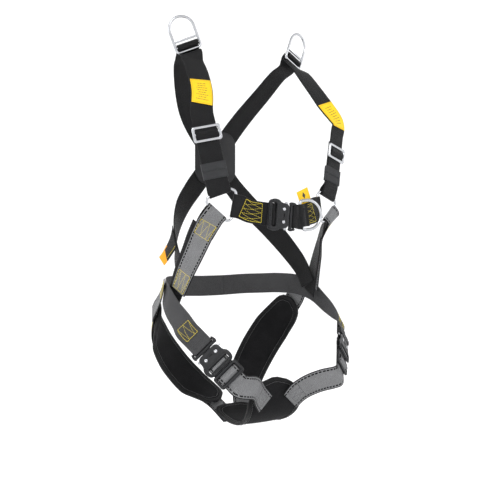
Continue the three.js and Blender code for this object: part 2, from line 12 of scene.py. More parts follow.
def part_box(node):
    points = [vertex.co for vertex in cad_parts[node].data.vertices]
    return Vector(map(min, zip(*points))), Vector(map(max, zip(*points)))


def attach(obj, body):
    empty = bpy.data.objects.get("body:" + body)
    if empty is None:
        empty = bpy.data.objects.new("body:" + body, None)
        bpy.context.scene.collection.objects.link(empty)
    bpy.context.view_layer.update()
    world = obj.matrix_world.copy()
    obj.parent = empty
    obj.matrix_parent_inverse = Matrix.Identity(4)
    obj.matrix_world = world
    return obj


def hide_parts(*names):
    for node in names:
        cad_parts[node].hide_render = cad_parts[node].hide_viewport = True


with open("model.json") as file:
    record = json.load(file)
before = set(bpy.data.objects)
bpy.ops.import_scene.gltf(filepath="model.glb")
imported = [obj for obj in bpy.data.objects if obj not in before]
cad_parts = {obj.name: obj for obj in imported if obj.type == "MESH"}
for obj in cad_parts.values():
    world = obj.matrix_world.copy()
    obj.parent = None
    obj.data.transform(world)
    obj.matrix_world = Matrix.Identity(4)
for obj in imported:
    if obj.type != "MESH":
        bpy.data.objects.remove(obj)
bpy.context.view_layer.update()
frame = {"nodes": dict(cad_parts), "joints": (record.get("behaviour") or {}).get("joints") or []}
nodes = frame["nodes"]
joints = {j["name"]: j for j in frame["joints"]}
rng = random.Random(7)

MM = 0.001
WEB = 45 * MM
THICK = 2.2 * MM
LAYER = 2.55 * MM
SIDES = ("left", "right")
WAYS = (("left", 1), ("right", -1))
FRONT = (0, -1, 0)
REARWARD = (0, 1, 0)

# ---- camera ----
CAMERA_AZIMUTH = -33.0
CAMERA_ELEVATION = 0.5
CAMERA_DISTANCE = 1.8
CAMERA_LENS = 64.1
CAMERA_SENSOR = 36
CAMERA_AIM = Vector((-0.007, 0.0, -0.386))


def make_camera():
    a, e = math.radians(CAMERA_AZIMUTH), math.radians(CAMERA_ELEVATION)
    back = Vector((math.sin(a) * math.cos(e), -math.cos(a) * math.cos(e), math.sin(e)))
    data = bpy.data.cameras.new("camera")
    data.lens = CAMERA_LENS
    data.sensor_width = CAMERA_SENSOR
    camera = bpy.data.objects.new("camera", data)
    camera.location = CAMERA_AIM + CAMERA_DISTANCE * back
    camera.rotation_euler = back.to_track_quat("Z", "Y").to_euler()
    bpy.context.scene.collection.objects.link(camera)
    bpy.context.scene.camera = camera


# ---- materials ----
class Nodes:
    """A short way to wire one material's nodes."""

    def __init__(self, name, color, roughness, metallic=0.0, specular=None, sheen=None):
        self.material = bpy.data.materials.new(name)
        self.material.use_nodes = True
        self.tree = self.material.node_tree
        self.shader = self.tree.nodes["Principled BSDF"]
        values = {"Base Color": (*color, 1), "Roughness": roughness, "Metallic": metallic,
                  "Specular IOR Level": specular, "Sheen Weight": sheen}
        for key, value in values.items():
            if value is not None:
                self.shader.inputs[key].default_value = value
        self.material.diffuse_color = (*color, 1)

    def link(self, out, into):
        self.tree.links.new(out, into)

    def add(self, kind, **values):
        node = self.tree.nodes.new(kind)
        for key, value in values.items():
            if key in node.inputs:
                node.inputs[key].default_value = value
            else:
                setattr(node, key, value)
        return node

    def math(self, operation, a, b=0.0, c=0.0):
        node = self.add("ShaderNodeMath", operation=operation)
        for socket, value in zip(node.inputs, (a, b, c)):
            if isinstance(value, (int, float)):
                socket.default_value = value
            else:
                self.link(value, socket)
        return node.outputs[0]

    def plus(self, a, b):
        return self.math("ADD", a, b)

    def times(self, a, b):
        return self.math("MULTIPLY", a, b)

    def wave(self, value, length):
        """The sine of a coordinate that repeats over a length."""
        return self.math("SINE", self.times(value, 2 * math.pi / length))

    def uv(self):
        node = self.add("ShaderNodeUVMap", uv_map="uv")
        split = self.add("ShaderNodeSeparateXYZ")
        self.link(node.outputs["UV"], split.inputs[0])
        return node.outputs["UV"], split.outputs["X"], split.outputs["Y"]

    def noise(self, vector, scale, detail=3.0, roughness=0.6):
        node = self.add("ShaderNodeTexNoise", Scale=scale, Detail=detail, Roughness=roughness)
        if vector is not None:
            self.link(vector, node.inputs["Vector"])
        return node.outputs["Fac"]

    def place(self):
        return self.add("ShaderNodeNewGeometry").outputs["Position"]

    def stretch(self, vector, scale):
        node = self.add("ShaderNodeMapping")
        node.inputs["Scale"].default_value = scale
        self.link(vector, node.inputs["Vector"])
        return node.outputs[0]

    def mix_color(self, fac, a, b):
        node = self.add("ShaderNodeMix", data_type="RGBA")
        for socket, value in ((node.inputs[0], fac), (node.inputs[6], a), (node.inputs[7], b)):
            if isinstance(value, (int, float)):
                socket.default_value = value
            elif isinstance(value, tuple):
                socket.default_value = (*value, 1)
            else:
                self.link(value, socket)
        return node.outputs[2]

    def ramp(self, value, low, high):
        node = self.add("ShaderNodeMapRange")
        node.inputs["From Min"].default_value = low
        node.inputs["From Max"].default_value = high
        self.link(value, node.inputs["Value"])
        return node.outputs[0]

    def color(self, socket):
        self.link(socket, self.shader.inputs["Base Color"])

    def roughness(self, socket):
        self.link(socket, self.shader.inputs["Roughness"])

    def bump(self, height, distance, strength=1.0):
        node = self.add("ShaderNodeBump")
        node.inputs["Distance"].default_value = distance
        node.inputs["Strength"].default_value = strength
        self.link(height, node.inputs["Height"])
        self.link(node.outputs[0], self.shader.inputs["Normal"])


RIB = 1.5 * MM
CORD = 1.3 * MM
SLANT = 9 * MM
EDGE_BAND = 2.0 * MM
EDGE_LINE = 5.4 * MM
EDGE_LINE_HALF = 1.45 * MM
EDGE_DASH = 7.0 * MM
LABEL_WEAVE = 0.9 * MM
KEEPER_RIB = 1.1 * MM


def webbing_material(name, dark, light, edge=None):
    """Slanted ribs with lighter flecks; an edge color adds dark edges and a dashed line beside each."""
    m = Nodes(name, light, 0.78, specular=0.12, sheen=0.02)
    uv, u, v = m.uv()
    slant = m.math("ABSOLUTE", m.wave(u, SLANT))
    ribs = m.math("SINE", m.plus(m.times(v, 2 * math.pi / RIB), m.times(slant, 2.2)))
    weave = m.times(m.plus(ribs, 1.0), m.plus(m.wave(u, CORD), 1.6))
    fleck = m.noise(m.stretch(uv, (220, 900, 1)), 1.0, 4.0, 0.7)
    tone = m.plus(m.times(weave, 0.2), m.times(fleck, 1.1))
    tone = m.plus(tone, m.times(m.noise(uv, 28.0), 0.3))
    color = m.mix_color(m.ramp(tone, 0.55, 1.3), dark, light)
    if edge:
        away = m.math("ABSOLUTE", u)
        band = m.math("GREATER_THAN", away, WEB / 2 - EDGE_BAND)
        from_line = m.math("ABSOLUTE", m.math("SUBTRACT", away, WEB / 2 - EDGE_LINE))
        line = m.math("LESS_THAN", from_line, EDGE_LINE_HALF)
        dash = m.math("LESS_THAN", m.math("FRACT", m.math("DIVIDE", v, EDGE_DASH)), 0.7)
        color = m.mix_color(m.math("MAXIMUM", band, m.times(line, dash)), color, edge)
    m.color(color)
    m.roughness(m.ramp(fleck, -0.4, 1.4))
    m.bump(m.plus(m.times(weave, 0.25), m.times(fleck, 0.5)), 0.5 * MM, 0.7)
    return m.material


def pad_material():
    """Near-black spacer fabric: small rounded cells under a soft uneven tone."""
    m = Nodes("pad_fabric", (0.005, 0.005, 0.0055), 0.9, specular=0.12, sheen=0.03)
    at = m.place()
    mesh = m.add("ShaderNodeTexVoronoi", Scale=620.0)
    m.link(at, mesh.inputs["Vector"])
    tone = m.times(mesh.outputs["Distance"], m.noise(at, 30.0))
    m.color(m.mix_color(tone, (0.003, 0.003, 0.0035), (0.02, 0.02, 0.0215)))
    m.bump(mesh.outputs["Distance"], 0.6 * MM, 0.6)
    return m.material


def steel_material():
    """Polished plated steel with fine drawn lines and a few small scuffs."""
    m = Nodes("steel", (0.58, 0.59, 0.61), 0.2, 1.0)
    at = m.place()
    lines = m.noise(m.stretch(at, (900, 120, 900)), 1.0)
    marks = m.ramp(m.noise(at, 180.0, 5.0, 0.75), 0.56, 0.72)
    m.color(m.mix_color(marks, (0.5, 0.51, 0.53), (0.32, 0.33, 0.35)))
    m.roughness(m.plus(m.times(lines, 0.14), m.plus(m.times(marks, 0.18), 0.1)))
    m.bump(lines, 0.03 * MM, 0.4)
    return m.material


def buckle_material():
    """Charcoal coated metal: a fine sprayed grain, thinner and brighter where it has rubbed."""
    m = Nodes("buckle_coat", (0.014, 0.0145, 0.016), 0.45, specular=0.3)
    at = m.place()
    grain = m.noise(at, 1400.0, 2.0)
    wear = m.ramp(m.noise(at, 130.0, 6.0, 0.7), 0.6, 0.78)
    m.color(m.mix_color(wear, (0.012, 0.0125, 0.014), (0.065, 0.067, 0.071)))
    m.roughness(m.plus(m.times(grain, 0.22), 0.32))
    m.bump(grain, 0.12 * MM, 0.5)
    return m.material


def rubber_material(name, color):
    """Ribbed elastic with an uneven, slightly lighter tone."""
    m = Nodes(name, color, 0.75, specular=0.2)
    uv, u, _ = m.uv()
    ribs = m.wave(u, KEEPER_RIB)
    lighter = tuple(min(1.0, c * 1.7) for c in color)
    tone = m.ramp(m.plus(m.times(ribs, 0.25), m.noise(uv, 60.0)), 0.1, 1.0)
    m.color(m.mix_color(tone, color, lighter))
    m.bump(ribs, 0.25 * MM, 0.5)
    return m.material


def label_material(name, color):
    """Coated cloth with a fine plain weave and a little grime."""
    m = Nodes(name, color, 0.6)
    uv, u, v = m.uv()
    weave = m.times(m.wave(u, LABEL_WEAVE), m.wave(v, LABEL_WEAVE))
    grime = m.ramp(m.noise(uv, 90.0, 5.0, 0.7), 0.45, 0.8)
    darker = tuple(c * 0.78 for c in color)
    m.color(m.mix_color(m.times(grime, 0.5), color, darker))
    m.bump(weave, 0.12 * MM, 0.5)
    return m.material


def thread_material(name, color):
    m = Nodes(name, color, 0.55, sheen=0.2)
    twist = m.noise(m.place(), 1500.0, 2.0)
    darker = tuple(c * 0.6 for c in color)
    m.color(m.mix_color(twist, darker, color))
    m.bump(twist, 0.2 * MM, 0.6)
    return m.material


def plastic_material():
    m = Nodes("moulded_plastic", (0.02, 0.02, 0.022), 0.5, specular=0.25)
    at = m.place()
    grain = m.noise(at, 900.0)
    m.color(m.mix_color(m.noise(at, 40.0), (0.009, 0.009, 0.01), (0.022, 0.022, 0.024)))
    m.roughness(m.plus(m.times(grain, 0.2), 0.38))
    m.bump(grain, 0.2 * MM, 0.5)
    return m.material


BLACK_YARN = ((0.0015, 0.0015, 0.0018), (0.017, 0.017, 0.018))
GREY_YARN = ((0.045, 0.046, 0.048), (0.29, 0.292, 0.298))
DARK_YARN = ((0.018, 0.018, 0.019), (0.085, 0.085, 0.088))
MAT = {
    "black": webbing_material("webbing_black", *BLACK_YARN),
    "grey": webbing_material("webbing_grey", *GREY_YARN, edge=(0.005, 0.005, 0.0055)),
    "dark": webbing_material("webbing_dark", *DARK_YARN),
    "pad": pad_material(),
    "steel": steel_material(),
    "buckle": buckle_material(),
    "keeper": rubber_material("keeper_elastic", (0.026, 0.0265, 0.028)),
    "yellow": label_material("label_yellow", (0.95, 0.6, 0.0)),
    "orange": label_material("label_orange", (0.95, 0.36, 0.0)),
    "thread": thread_material("thread_yellow", (1.0, 0.8, 0.02)),
    "black_thread": thread_material("thread_black", (0.02, 0.02, 0.02)),
    "seam_thread": thread_material("thread_grey", (0.06, 0.06, 0.062)),
    "label_thread": thread_material("thread_ochre", (0.55, 0.33, 0.0)),
    "print": label_material("label_print", (0.03, 0.025, 0.02)),
    "plastic": plastic_material(),
}


# ---- straps recovered from the frame ----
def sections_of(node):
    """The sections of a CAD band, end to end: arrays of centre, across, out and width."""
    index, points, ids = {}, [], []
    for vertex in nodes[node].data.vertices:
        key = tuple(round(c * 2e5) for c in vertex.co)
        if key not in index:
            index[key] = len(points)
            points.append(np.array(vertex.co))
        ids.append(index[key])
    near = [set() for _ in points]
    wings = {}
    for polygon in nodes[node].data.polygons:
        corners = [ids[i] for i in polygon.vertices]
        for k, a in enumerate(corners):
            b = corners[(k + 1) % len(corners)]
            near[a].add(b)
            near[b].add(a)
            wings.setdefault(frozenset((a, b)), set()).update(corners)
    first = next(s for s in wings.values()
                 if len(s) == 4 and len(set().union(*(near[i] for i in s)) - s) == 4)
    order, seen = [sorted(first)], set(first)
    while True:
        following = set().union(*(near[i] for i in order[-1])) - seen
        if not following:
            break
        order.append(sorted(following))
        seen |= following
    result = []
    for group in order:
        p = np.array([points[i] for i in group])
        mates = sorted(range(1, 4), key=lambda i: np.linalg.norm(p[i] - p[0]))
        thin, wide = p[mates[0]] - p[0], p[mates[1]] - p[0]
        width = np.linalg.norm(wide)
        across, out = wide / width, thin / np.linalg.norm(thin)
        if result:
            across = across if across @ result[-1][1] > 0 else -across
            out = out if out @ result[-1][2] > 0 else -out
        result.append((p.mean(0), across, out, width))
    return result


class Path:
    """A strap's middle line with its facing, measured in metres from its first end."""

    def __init__(self, points, outs, width=WEB):
        outs = np.array(outs, float)
        facings = np.array([o / np.linalg.norm(o) for o in outs])
        self.lay(np.array(points, float), facings, np.full(len(points), width))

    def lay(self, at, out, width):
        self.at, self.out, self.width = at, out, width
        steps = np.linalg.norm(np.diff(self.at, axis=0), axis=1)
        self.s = np.concatenate([[0], np.cumsum(steps)])
        self.length = float(self.s[-1])

    def __call__(self, s):
        """(centre, along, across, out, width) at a distance, running straight on past the ends."""
        inside = min(max(s, 0.0), self.length)
        k = int(min(np.searchsorted(self.s, inside, side="right") - 1, len(self.s) - 2))
        span = self.s[k + 1] - self.s[k]
        f = (inside - self.s[k]) / span
        tangents = [self.tangent(k), self.tangent(k + 1)]
        a, b = self.at[k], self.at[k + 1]
        f2, f3 = f * f, f * f * f
        centre = ((2 * f3 - 3 * f2 + 1) * a + (f3 - 2 * f2 + f) * span * tangents[0]
                  + (3 * f2 - 2 * f3) * b + (f3 - f2) * span * tangents[1])
        along = tangents[0] * (1 - f) + tangents[1] * f
        along /= np.linalg.norm(along)
        out = self.out[k] * (1 - f) + self.out[k + 1] * f
        out -= along * (out @ along)
        out /= np.linalg.norm(out)
        width = self.width[k] * (1 - f) + self.width[k + 1] * f
        centre = centre + along * (s - inside)
        return centre, along, np.cross(along, out), out, width

    def tangent(self, k):
        a, b = max(k - 1, 0), min(k + 1, len(self.at) - 1)
        d = self.at[b] - self.at[a]
        return d / np.linalg.norm(d)

    def nearest(self, point):
        """The distance along at which the track passes nearest a point."""
        s = np.linspace(0, self.length, 400)
        return float(min(s, key=lambda x: np.linalg.norm(self(x)[0] - np.array(point))))


class Track(Path):
    """A path read from a CAD band: it begins at the end nearest `start`.

    `facing` is a point near the band and the way the band's outer face looks there."""

    def __init__(self, node, start, facing):
        rows = sections_of(node)
        start, point, way = (np.array(v) for v in (start, *facing))
        if np.linalg.norm(rows[0][0] - start) > np.linalg.norm(rows[-1][0] - start):
            rows = rows[::-1]
        close = min(rows, key=lambda r: np.linalg.norm(r[0] - point))
        flip = 1.0 if close[2] @ way > 0 else -1.0
        self.lay(np.array([r[0] for r in rows]), np.array([flip * r[2] for r in rows]),
                 np.array([r[3] for r in rows]))


# ---- mesh helpers ----
def new_object(name, mesh, material, smooth=True):
    obj = bpy.data.objects.new(name, mesh)
    bpy.context.scene.collection.objects.link(obj)
    mesh.materials.append(material)
    if smooth:
        mesh.shade_smooth()
    return obj


def loft(name, sections, uvs, material, closed=False):
    """A closed skin over equal sections; uvs hold (u, v) for each section point."""
    sides = len(sections[0])
    verts = [tuple(p) for section in sections for p in section]
    faces, corners = [], []
    spans = len(sections) if closed else len(sections) - 1
    for i in range(spans):
        n = (i + 1) % len(sections)
        for j in range(sides):
            k = (j + 1) % sides
            faces.append((i * sides + j, n * sides + j, n * sides + k, i * sides + k))
            corners += [uvs[i][j], uvs[n][j], uvs[n][k], uvs[i][k]]
    if not closed:
        last = (len(sections) - 1) * sides
        faces.append(tuple(range(sides)))
        corners += list(uvs[0])
        faces.append(tuple(last + j for j in reversed(range(sides))))
        corners += list(reversed(uvs[-1]))
    mesh = bpy.data.meshes.new(name)
    mesh.from_pydata(verts, [], faces)
    layer = mesh.uv_layers.new(name="uv")
    layer.data.foreach_set("uv", [c for uv in corners for c in uv])
    bm = bmesh.new()
    bm.from_mesh(mesh)
    bmesh.ops.recalc_face_normals(bm, faces=bm.faces)
    bm.to_mesh(mesh)
    bm.free()
    return new_object(name, mesh, material)


def band_profile(width, thick):
    """Points round a strap's section with rounded edges: (across, out)."""
    h = thick / 2
    inner = width / 2 - h
    top = [(-inner + 2 * inner * i / 8, h) for i in range(9)]
    edge = [(inner + h * math.sin(a), h * math.cos(a)) for a in (math.pi / 4, math.pi / 2, 3 * math.pi / 4)]
    return top + edge + [(-x, -y) for x, y in top] + [(-x, -y) for x, y in edge]


def strap(name, track, material, s0=None, s1=None, width=None, thick=THICK, lift=0.0, shift=0.0, step=3 * MM):
    s0 = 0.0 if s0 is None else s0
    s1 = track.length if s1 is None else s1
    count = max(4, int((s1 - s0) / step))
    sections, uvs = [], []
    for i in range(count + 1):
        s = s0 + (s1 - s0) * i / count
        centre, _, across, out, own = track(s)
        profile = band_profile(width or own, thick)
        middle = centre + out * lift + across * shift
        sections.append([middle + across * x + out * y for x, y in profile])
        uvs.append([(x, s) for x, _ in profile])
    return loft(name, sections, uvs, material)


def tube(points, radius, sides=10):
    """The sections of a closed rod through points."""
    n = len(points)
    pts = [Vector(p) for p in points]
    normal = Vector()
    for i in range(n):
        normal += (pts[i] - pts[0]).cross(pts[(i + 1) % n] - pts[0])
    normal.normalize()
    sections = []
    for i, p in enumerate(pts):
        way = (pts[(i + 1) % n] - pts[i - 1]).normalized()
        side = way.cross(normal)
        ring = []
        for j in range(sides):
            a = 2 * math.pi * j / sides
            ring.append(p + side * radius * math.cos(a) + normal * radius * math.sin(a))
        sections.append(ring)
    return sections


def hoop(name, points, radius, material, sides=20):
    sections = tube(points, radius, sides)
    uvs = [[(j * MM, i * MM) for j in range(sides)] for i in range(len(points))]
    return loft(name, sections, uvs, material, closed=True)


def arc(cx, cy, r, a0, a1, steps):
    angles = [math.radians(a0 + (a1 - a0) * i / steps) for i in range(steps + 1)]
    return [(cx + r * math.cos(a), cy + r * math.sin(a)) for a in angles]


class Place:
    """A local frame: x, y in the plane of a plate, z out of it."""

    def __init__(self, origin, x, y):
        self.o = Vector(origin)
        self.x = Vector(x).normalized()
        y = Vector(y)
        self.y = (y - self.x * y.dot(self.x)).normalized()
        self.z = self.x.cross(self.y)

    def __call__(self, x, y, z=0.0):
        return self.o + self.x * x + self.y * y + self.z * z

    def matrix(self, z=0.0):
        m = Matrix((self.x, self.y, self.z)).transposed().to_4x4()
        m.translation = self(0, 0, z)
        return m


def plate(name, loops, thick, bevel, place, low, material):
    """A flat plate with rounded edges: loops are its outline and holes, in metres."""
    curve = bpy.data.curves.new(name, "CURVE")
    curve.dimensions = "2D"
    curve.fill_mode = "BOTH"
    curve.extrude = thick / 2 - bevel
    curve.bevel_depth = bevel
    curve.bevel_resolution = 2
    curve.offset = -bevel
    for loop in loops:
        spline = curve.splines.new("POLY")
        spline.points.add(len(loop) - 1)
        for point, (x, y) in zip(spline.points, loop):
            point.co = (x, y, 0, 1)
        spline.use_cyclic_u = True
    source = bpy.data.objects.new(name + "_curve", curve)
    bpy.context.scene.collection.objects.link(source)
    bpy.context.view_layer.update()
    mesh = bpy.data.meshes.new_from_object(source.evaluated_get(bpy.context.evaluated_depsgraph_get()))
    bpy.data.objects.remove(source)
    bm = bmesh.new()
    bm.from_mesh(mesh)
    bmesh.ops.remove_doubles(bm, verts=bm.verts, dist=1e-6)
    bmesh.ops.recalc_face_normals(bm, faces=bm.faces)
    bm.transform(place.matrix(low + thick / 2))
    bm.to_mesh(mesh)
    bm.free()
    mesh.name = name
    mesh.materials.clear()
    obj = new_object(name, mesh, material, smooth=False)
    shade_by_angle(obj)
    return obj


def shade_by_angle(obj, degrees=35):
    obj.data.shade_smooth()
    bm = bmesh.new()
    bm.from_mesh(obj.data)
    for edge in bm.edges:
        edge.smooth = edge.calc_face_angle(0) < math.radians(degrees)
    bm.to_mesh(obj.data)
    bm.free()


def merge(name, objects):
    """Joins pieces of one body and material into one object."""
    bm = bmesh.new()
    for obj in objects:
        bm.from_mesh(obj.data)
    mesh = bpy.data.meshes.new(name)
    bm.to_mesh(mesh)
    bm.free()
    material = objects[0].data.materials[0]
    for obj in objects:
        bpy.data.objects.remove(obj)
    merged = bpy.data.objects.new(name, mesh)
    bpy.context.scene.collection.objects.link(merged)
    mesh.materials.append(material)
    return merged


def finish_piece(obj, body, slot, *replaced):
    if replaced:
        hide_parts(*replaced)
    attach(obj, body)
    return obj


# ---- stitching ----
STITCH = 3.1 * MM
STITCH_GAP = 0.7 * MM
THREAD = 0.52 * MM
FINE_SHARE = 0.6
STROKE_SHARE = 0.93


def stitch(bm, ends, size):
    """One raised stitch: six-sided rings at its start, middle and end, thin at both ends."""
    way = (ends[2][0] - ends[0][0]).normalized()
    rings = []
    for (p, out), share, rise in zip(ends, (0.45, 1.0, 0.45), (-0.25, 0.35, -0.25)):
        side = way.cross(out).normalized()
        middle = p + out * size * rise
        ring = []
        for k in range(6):
            a = k * math.pi / 3
            ring.append(bm.verts.new(middle + (side * math.cos(a) + out * math.sin(a)) * size * share))
        rings.append(ring)
    for r0, r1 in zip(rings, rings[1:]):
        for k in range(6):
            bm.faces.new((r0[k], r0[(k + 1) % 6], r1[(k + 1) % 6], r1[k]))
    bm.faces.new(rings[0][::-1])
    bm.faces.new(rings[2])


def mesh_from(bm, name):
    """A mesh of a bmesh's faces, all turned outward; the bmesh is used up."""
    bmesh.ops.recalc_face_normals(bm, faces=bm.faces)
    mesh = bpy.data.meshes.new(name)
    bm.to_mesh(mesh)
    bm.free()
    return mesh


def sew(name, track, lines, thread, lift=THICK / 2, radius=THREAD, slot="webbing_black"):
    """Rows of stitches along lines of (across, distance) points; lines after the first are finer."""
    bm = bmesh.new()
    for number, line in enumerate(lines):
        size = radius if number == 0 else radius * FINE_SHARE
        for (u0, s0), (u1, s1) in zip(line, line[1:]):
            reach = math.hypot(u1 - u0, s1 - s0)
            count = max(1, round(reach / (STITCH + STITCH_GAP)))
            for i in range(count):
                f0 = (i + 0.05) / count
                f1 = (i + 0.95) / count
                ends = []
                for f in (f0, (f0 + f1) / 2, f1):
                    u, s = u0 + (u1 - u0) * f, s0 + (s1 - s0) * f
                    centre, _, across, out, _ = track(s)
                    ends.append((Vector(centre + across * u + out * lift), Vector(out)))
                stitch(bm, ends, size)
    finish_piece(new_object(name, mesh_from(bm, name), MAT[thread]), "webbing", slot)


def sew_box(name, track, middle, length, width, teeth, color, crossed=False, lift=THICK / 2, thread="thread"):
    """A sewn box filled with long zigzag strokes along the strap."""
    w, h = width / 2, length / 2
    lines = [[(-w, middle - h), (w, middle - h), (w, middle + h), (-w, middle + h), (-w, middle - h)]]
    for phase in ((0, 1) if crossed else (0,)):
        lines.append([(-w + 2 * w * t / teeth, middle + h * STROKE_SHARE * (1 if (t + phase) % 2 else -1))
                      for t in range(teeth + 1)])
    sew(name, track, lines, thread, lift, slot=f"webbing_{color}")


# ---- straps ----
def mid(node):
    low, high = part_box(node)
    return (low + high) / 2


SHOULDER, CHEST, SIDE, BACK, HIP, LEG, REAR = {}, {}, {}, {}, {}, {}, {}


def make_strap(tracks, kind, side, start, facing, color, step=3 * MM):
    """The webbing of one CAD strap; its track is kept by side."""
    node = f"{kind}_strap_{side}"
    track = Track(node, start, facing)
    tracks[side] = track
    obj = strap(f"{kind}_webbing_{side}", track, MAT[color], step=step)
    finish_piece(obj, "webbing", f"webbing_{color}", node)


def make_straps():
    for side, k in WAYS:
        ring, slider, outward = mid(f"ring_{side}"), mid(f"slider_{side}"), (k, 0, 0)
        make_strap(SHOULDER, "shoulder", side, (0, 0.114, -0.2), (slider, FRONT), "black", 2 * MM)
        make_strap(BACK, "back", side, (0, 0.114, -0.21), ((k * 0.09, 0.1, -0.31), REARWARD), "black")
        make_strap(SIDE, "side", side, ring, ((k * 0.16, -0.05, -0.43), outward), "grey")
        make_strap(HIP, "hip", side, (k * 0.11, 0.096, -0.486), ((k * 0.187, -0.03, -0.52), outward), "dark")
        make_strap(LEG, "leg", side, mid(f"adjuster_{side}"), ((k * 0.1, -0.17, -0.66), FRONT), "grey")
        make_strap(CHEST, "chest", side, ring, (mid("chest_back_plate"), FRONT), "black", 2 * MM)


make_camera()
make_straps()


# ---- placing helpers ----
def facing_s(track, point, way):
    """The distance along at which a strap passes a point while facing a way."""
    point, way = np.array(point), np.array(way)
    facing = [s for s in np.linspace(0, track.length, 900) if track(s)[3] @ way > 0.3]
    return float(min(facing, key=lambda s: np.linalg.norm(track(s)[0] - point)))


def extra_strap(name, track, color, s0, s1, lift=0.0, shift=0.0):
    """A strap that only the visual model has, in the given cloth."""
    obj = strap(name, track, MAT[color], s0, s1, WEB, THICK, lift, shift)
    finish_piece(obj, "webbing", f"webbing_{color}")


def tag(name, track, color, width, thick, held, slot, node=None, **size):
    """A small sewn piece of cloth."""
    obj = strap(name, track, MAT[color], width=width, thick=thick, **size)
    finish_piece(obj, "webbing", slot, *([node] if node else []))
    width or track(0)[4]


def rounded(cx, cy, w, h, r, steps=5):
    """The outline of a box with round corners."""
    points = []
    for sx, sy, a in ((1, 1, 0), (-1, 1, 90), (-1, -1, 180), (1, -1, 270)):
        points += arc(cx + sx * (w / 2 - r), cy + sy * (h / 2 - r), r, a, a + 90, steps)
    return points


def in_mm(points):
    return [(x * MM, y * MM) for x, y in points]


def flat_place(node, along=None):
    """The local frame of a flat CAD node: z is its thin direction, facing away from the wearer."""
    corners = {tuple(round(c, 6) for c in v.co) for v in nodes[node].data.vertices}
    p = np.array(sorted(corners))
    _, _, axes = np.linalg.svd(p - p.mean(0), full_matrices=False)
    normal = axes[2] if axes[2] @ (p.mean(0) * (1, 1, 0)) > 0 else -axes[2]
    x = np.array(along if along is not None else axes[0], float)
    x -= normal * (x @ normal)
    return Place(p.mean(0), x, np.cross(normal, x))


def bar(name, a, b, radius, material):
    """A straight rod from a to b with softened ends."""
    a, b = Vector(a), Vector(b)
    way = (b - a).normalized()
    side = way.orthogonal().normalized()
    up = way.cross(side)
    length = (b - a).length
    ends = [(0, 0.6), (0.35 * radius, 0.92), (radius, 1.0)]
    stations = ends + [(length - t, f) for t, f in reversed(ends)]
    circle = [(math.cos(t), math.sin(t)) for t in (k * math.pi / 8 for k in range(16))]
    sections = [[a + way * t + (side * c + up * s) * radius * f for c, s in circle] for t, f in stations]
    uvs = [[(k * MM, t) for k in range(16)] for t, _ in stations]
    return loft(name, sections, uvs, material)


# ---- rings, Ds and frames of the straps ----
D_ROD, D_HALF, D_TOP, D_BOTTOM, D_CORNER = 2.75 * MM, 26.25 * MM, 59 * MM, -10 * MM, 6 * MM
D_MIDDLE_ROD, D_FLAT_LOW, D_FLAT_HEIGHT, D_FLAT_THICK = 2.1 * MM, 10 * MM, 4 * MM, 5.5 * MM
RING_ROD, RING_CIRCLE, RING_CORNER = 2.5 * MM, 24 * MM, 10 * MM
BODY_D = {"half": 29 * MM, "depth": 46 * MM, "rod": 3.2 * MM, "corner": 7 * MM}


def pivot_place(node, joint):
    """The frame of a D: x along its bar, y from the bar towards its arch."""
    pivot, axis = Vector(joints[joint]["pos_m"]), Vector(joints[joint]["axis"])
    return Place(pivot, axis, Vector(mid(node)) - pivot)


def d_outline(half, bottom, top, corner):
    return (arc(half - corner, bottom + corner, corner, -90, 0, 8) + arc(0, top - half, half, 0, 180, 40)
            + arc(corner - half, bottom + corner, corner, 180, 270, 8))


def make_shoulder_ds():
    for side in SIDES:
        node = f"shoulder_d_{side}"
        place = pivot_place(node, f"{node}_tilt")
        outline = d_outline(D_HALF, D_BOTTOM, D_TOP, D_CORNER)
        parts = [hoop("rim", [place(x, y) for x, y in outline], D_ROD, MAT["steel"])]
        parts.append(bar("bar", place(-D_HALF, 0), place(D_HALF, 0), D_MIDDLE_ROD, MAT["steel"]))
        w, low, high = D_HALF, D_FLAT_LOW, D_FLAT_LOW + D_FLAT_HEIGHT
        flat = [(-w, low), (w, low), (w, high), (-w, high)]
        parts.append(plate("flat", [flat], D_FLAT_THICK, 0.8 * MM, place, -D_FLAT_THICK / 2, MAT["steel"]))
        finish_piece(merge(f"shoulder_ring_{side}", parts), node, "steel", node)


def make_body_d(node, name, joint):
    place = pivot_place(node, joint)
    outline = d_outline(BODY_D["half"], 0, BODY_D["depth"], BODY_D["corner"])
    obj = hoop(name, [place(x, y) for x, y in outline], BODY_D["rod"], MAT["steel"])
    finish_piece(obj, node, "steel", node)


def make_rings():
    for side in SIDES:
        node = f"ring_{side}"
        base = flat_place(node)
        far = max((v.co for v in nodes[node].data.vertices), key=lambda q: (q - base.o).length)
        place = Place(base.o, far - base.o, base.z.cross(far - base.o))
        outline = []
        for a in (0, 120, 240):
            x, y = RING_CIRCLE * math.cos(math.radians(a)), RING_CIRCLE * math.sin(math.radians(a))
            outline += arc(x, y, RING_CORNER, a - 60, a + 60, 12)
        obj = hoop(f"triangle_ring_{side}", [place(x, y) for x, y in outline], RING_ROD, MAT["steel"])
        finish_piece(obj, "webbing", "steel", node)


def fold(name, place, route, color, body, width=WEB - 1 * MM):
    """Webbing folded along a route of (x, z) points in a place's frame."""
    points = [place(x * MM, 0, z * MM) for x, z in route]
    outs = []
    for i in range(len(route)):
        (x0, z0), (x1, z1) = route[max(i - 1, 0)], route[min(i + 1, len(route) - 1)]
        outs.append(tuple(place.z * (x1 - x0) - place.x * (z1 - z0)))
    path = Path([tuple(p) for p in points], outs, width)
    obj = strap(name, path, MAT[color], step=0.7 * MM)
    finish_piece(obj, body, f"webbing_{color}")


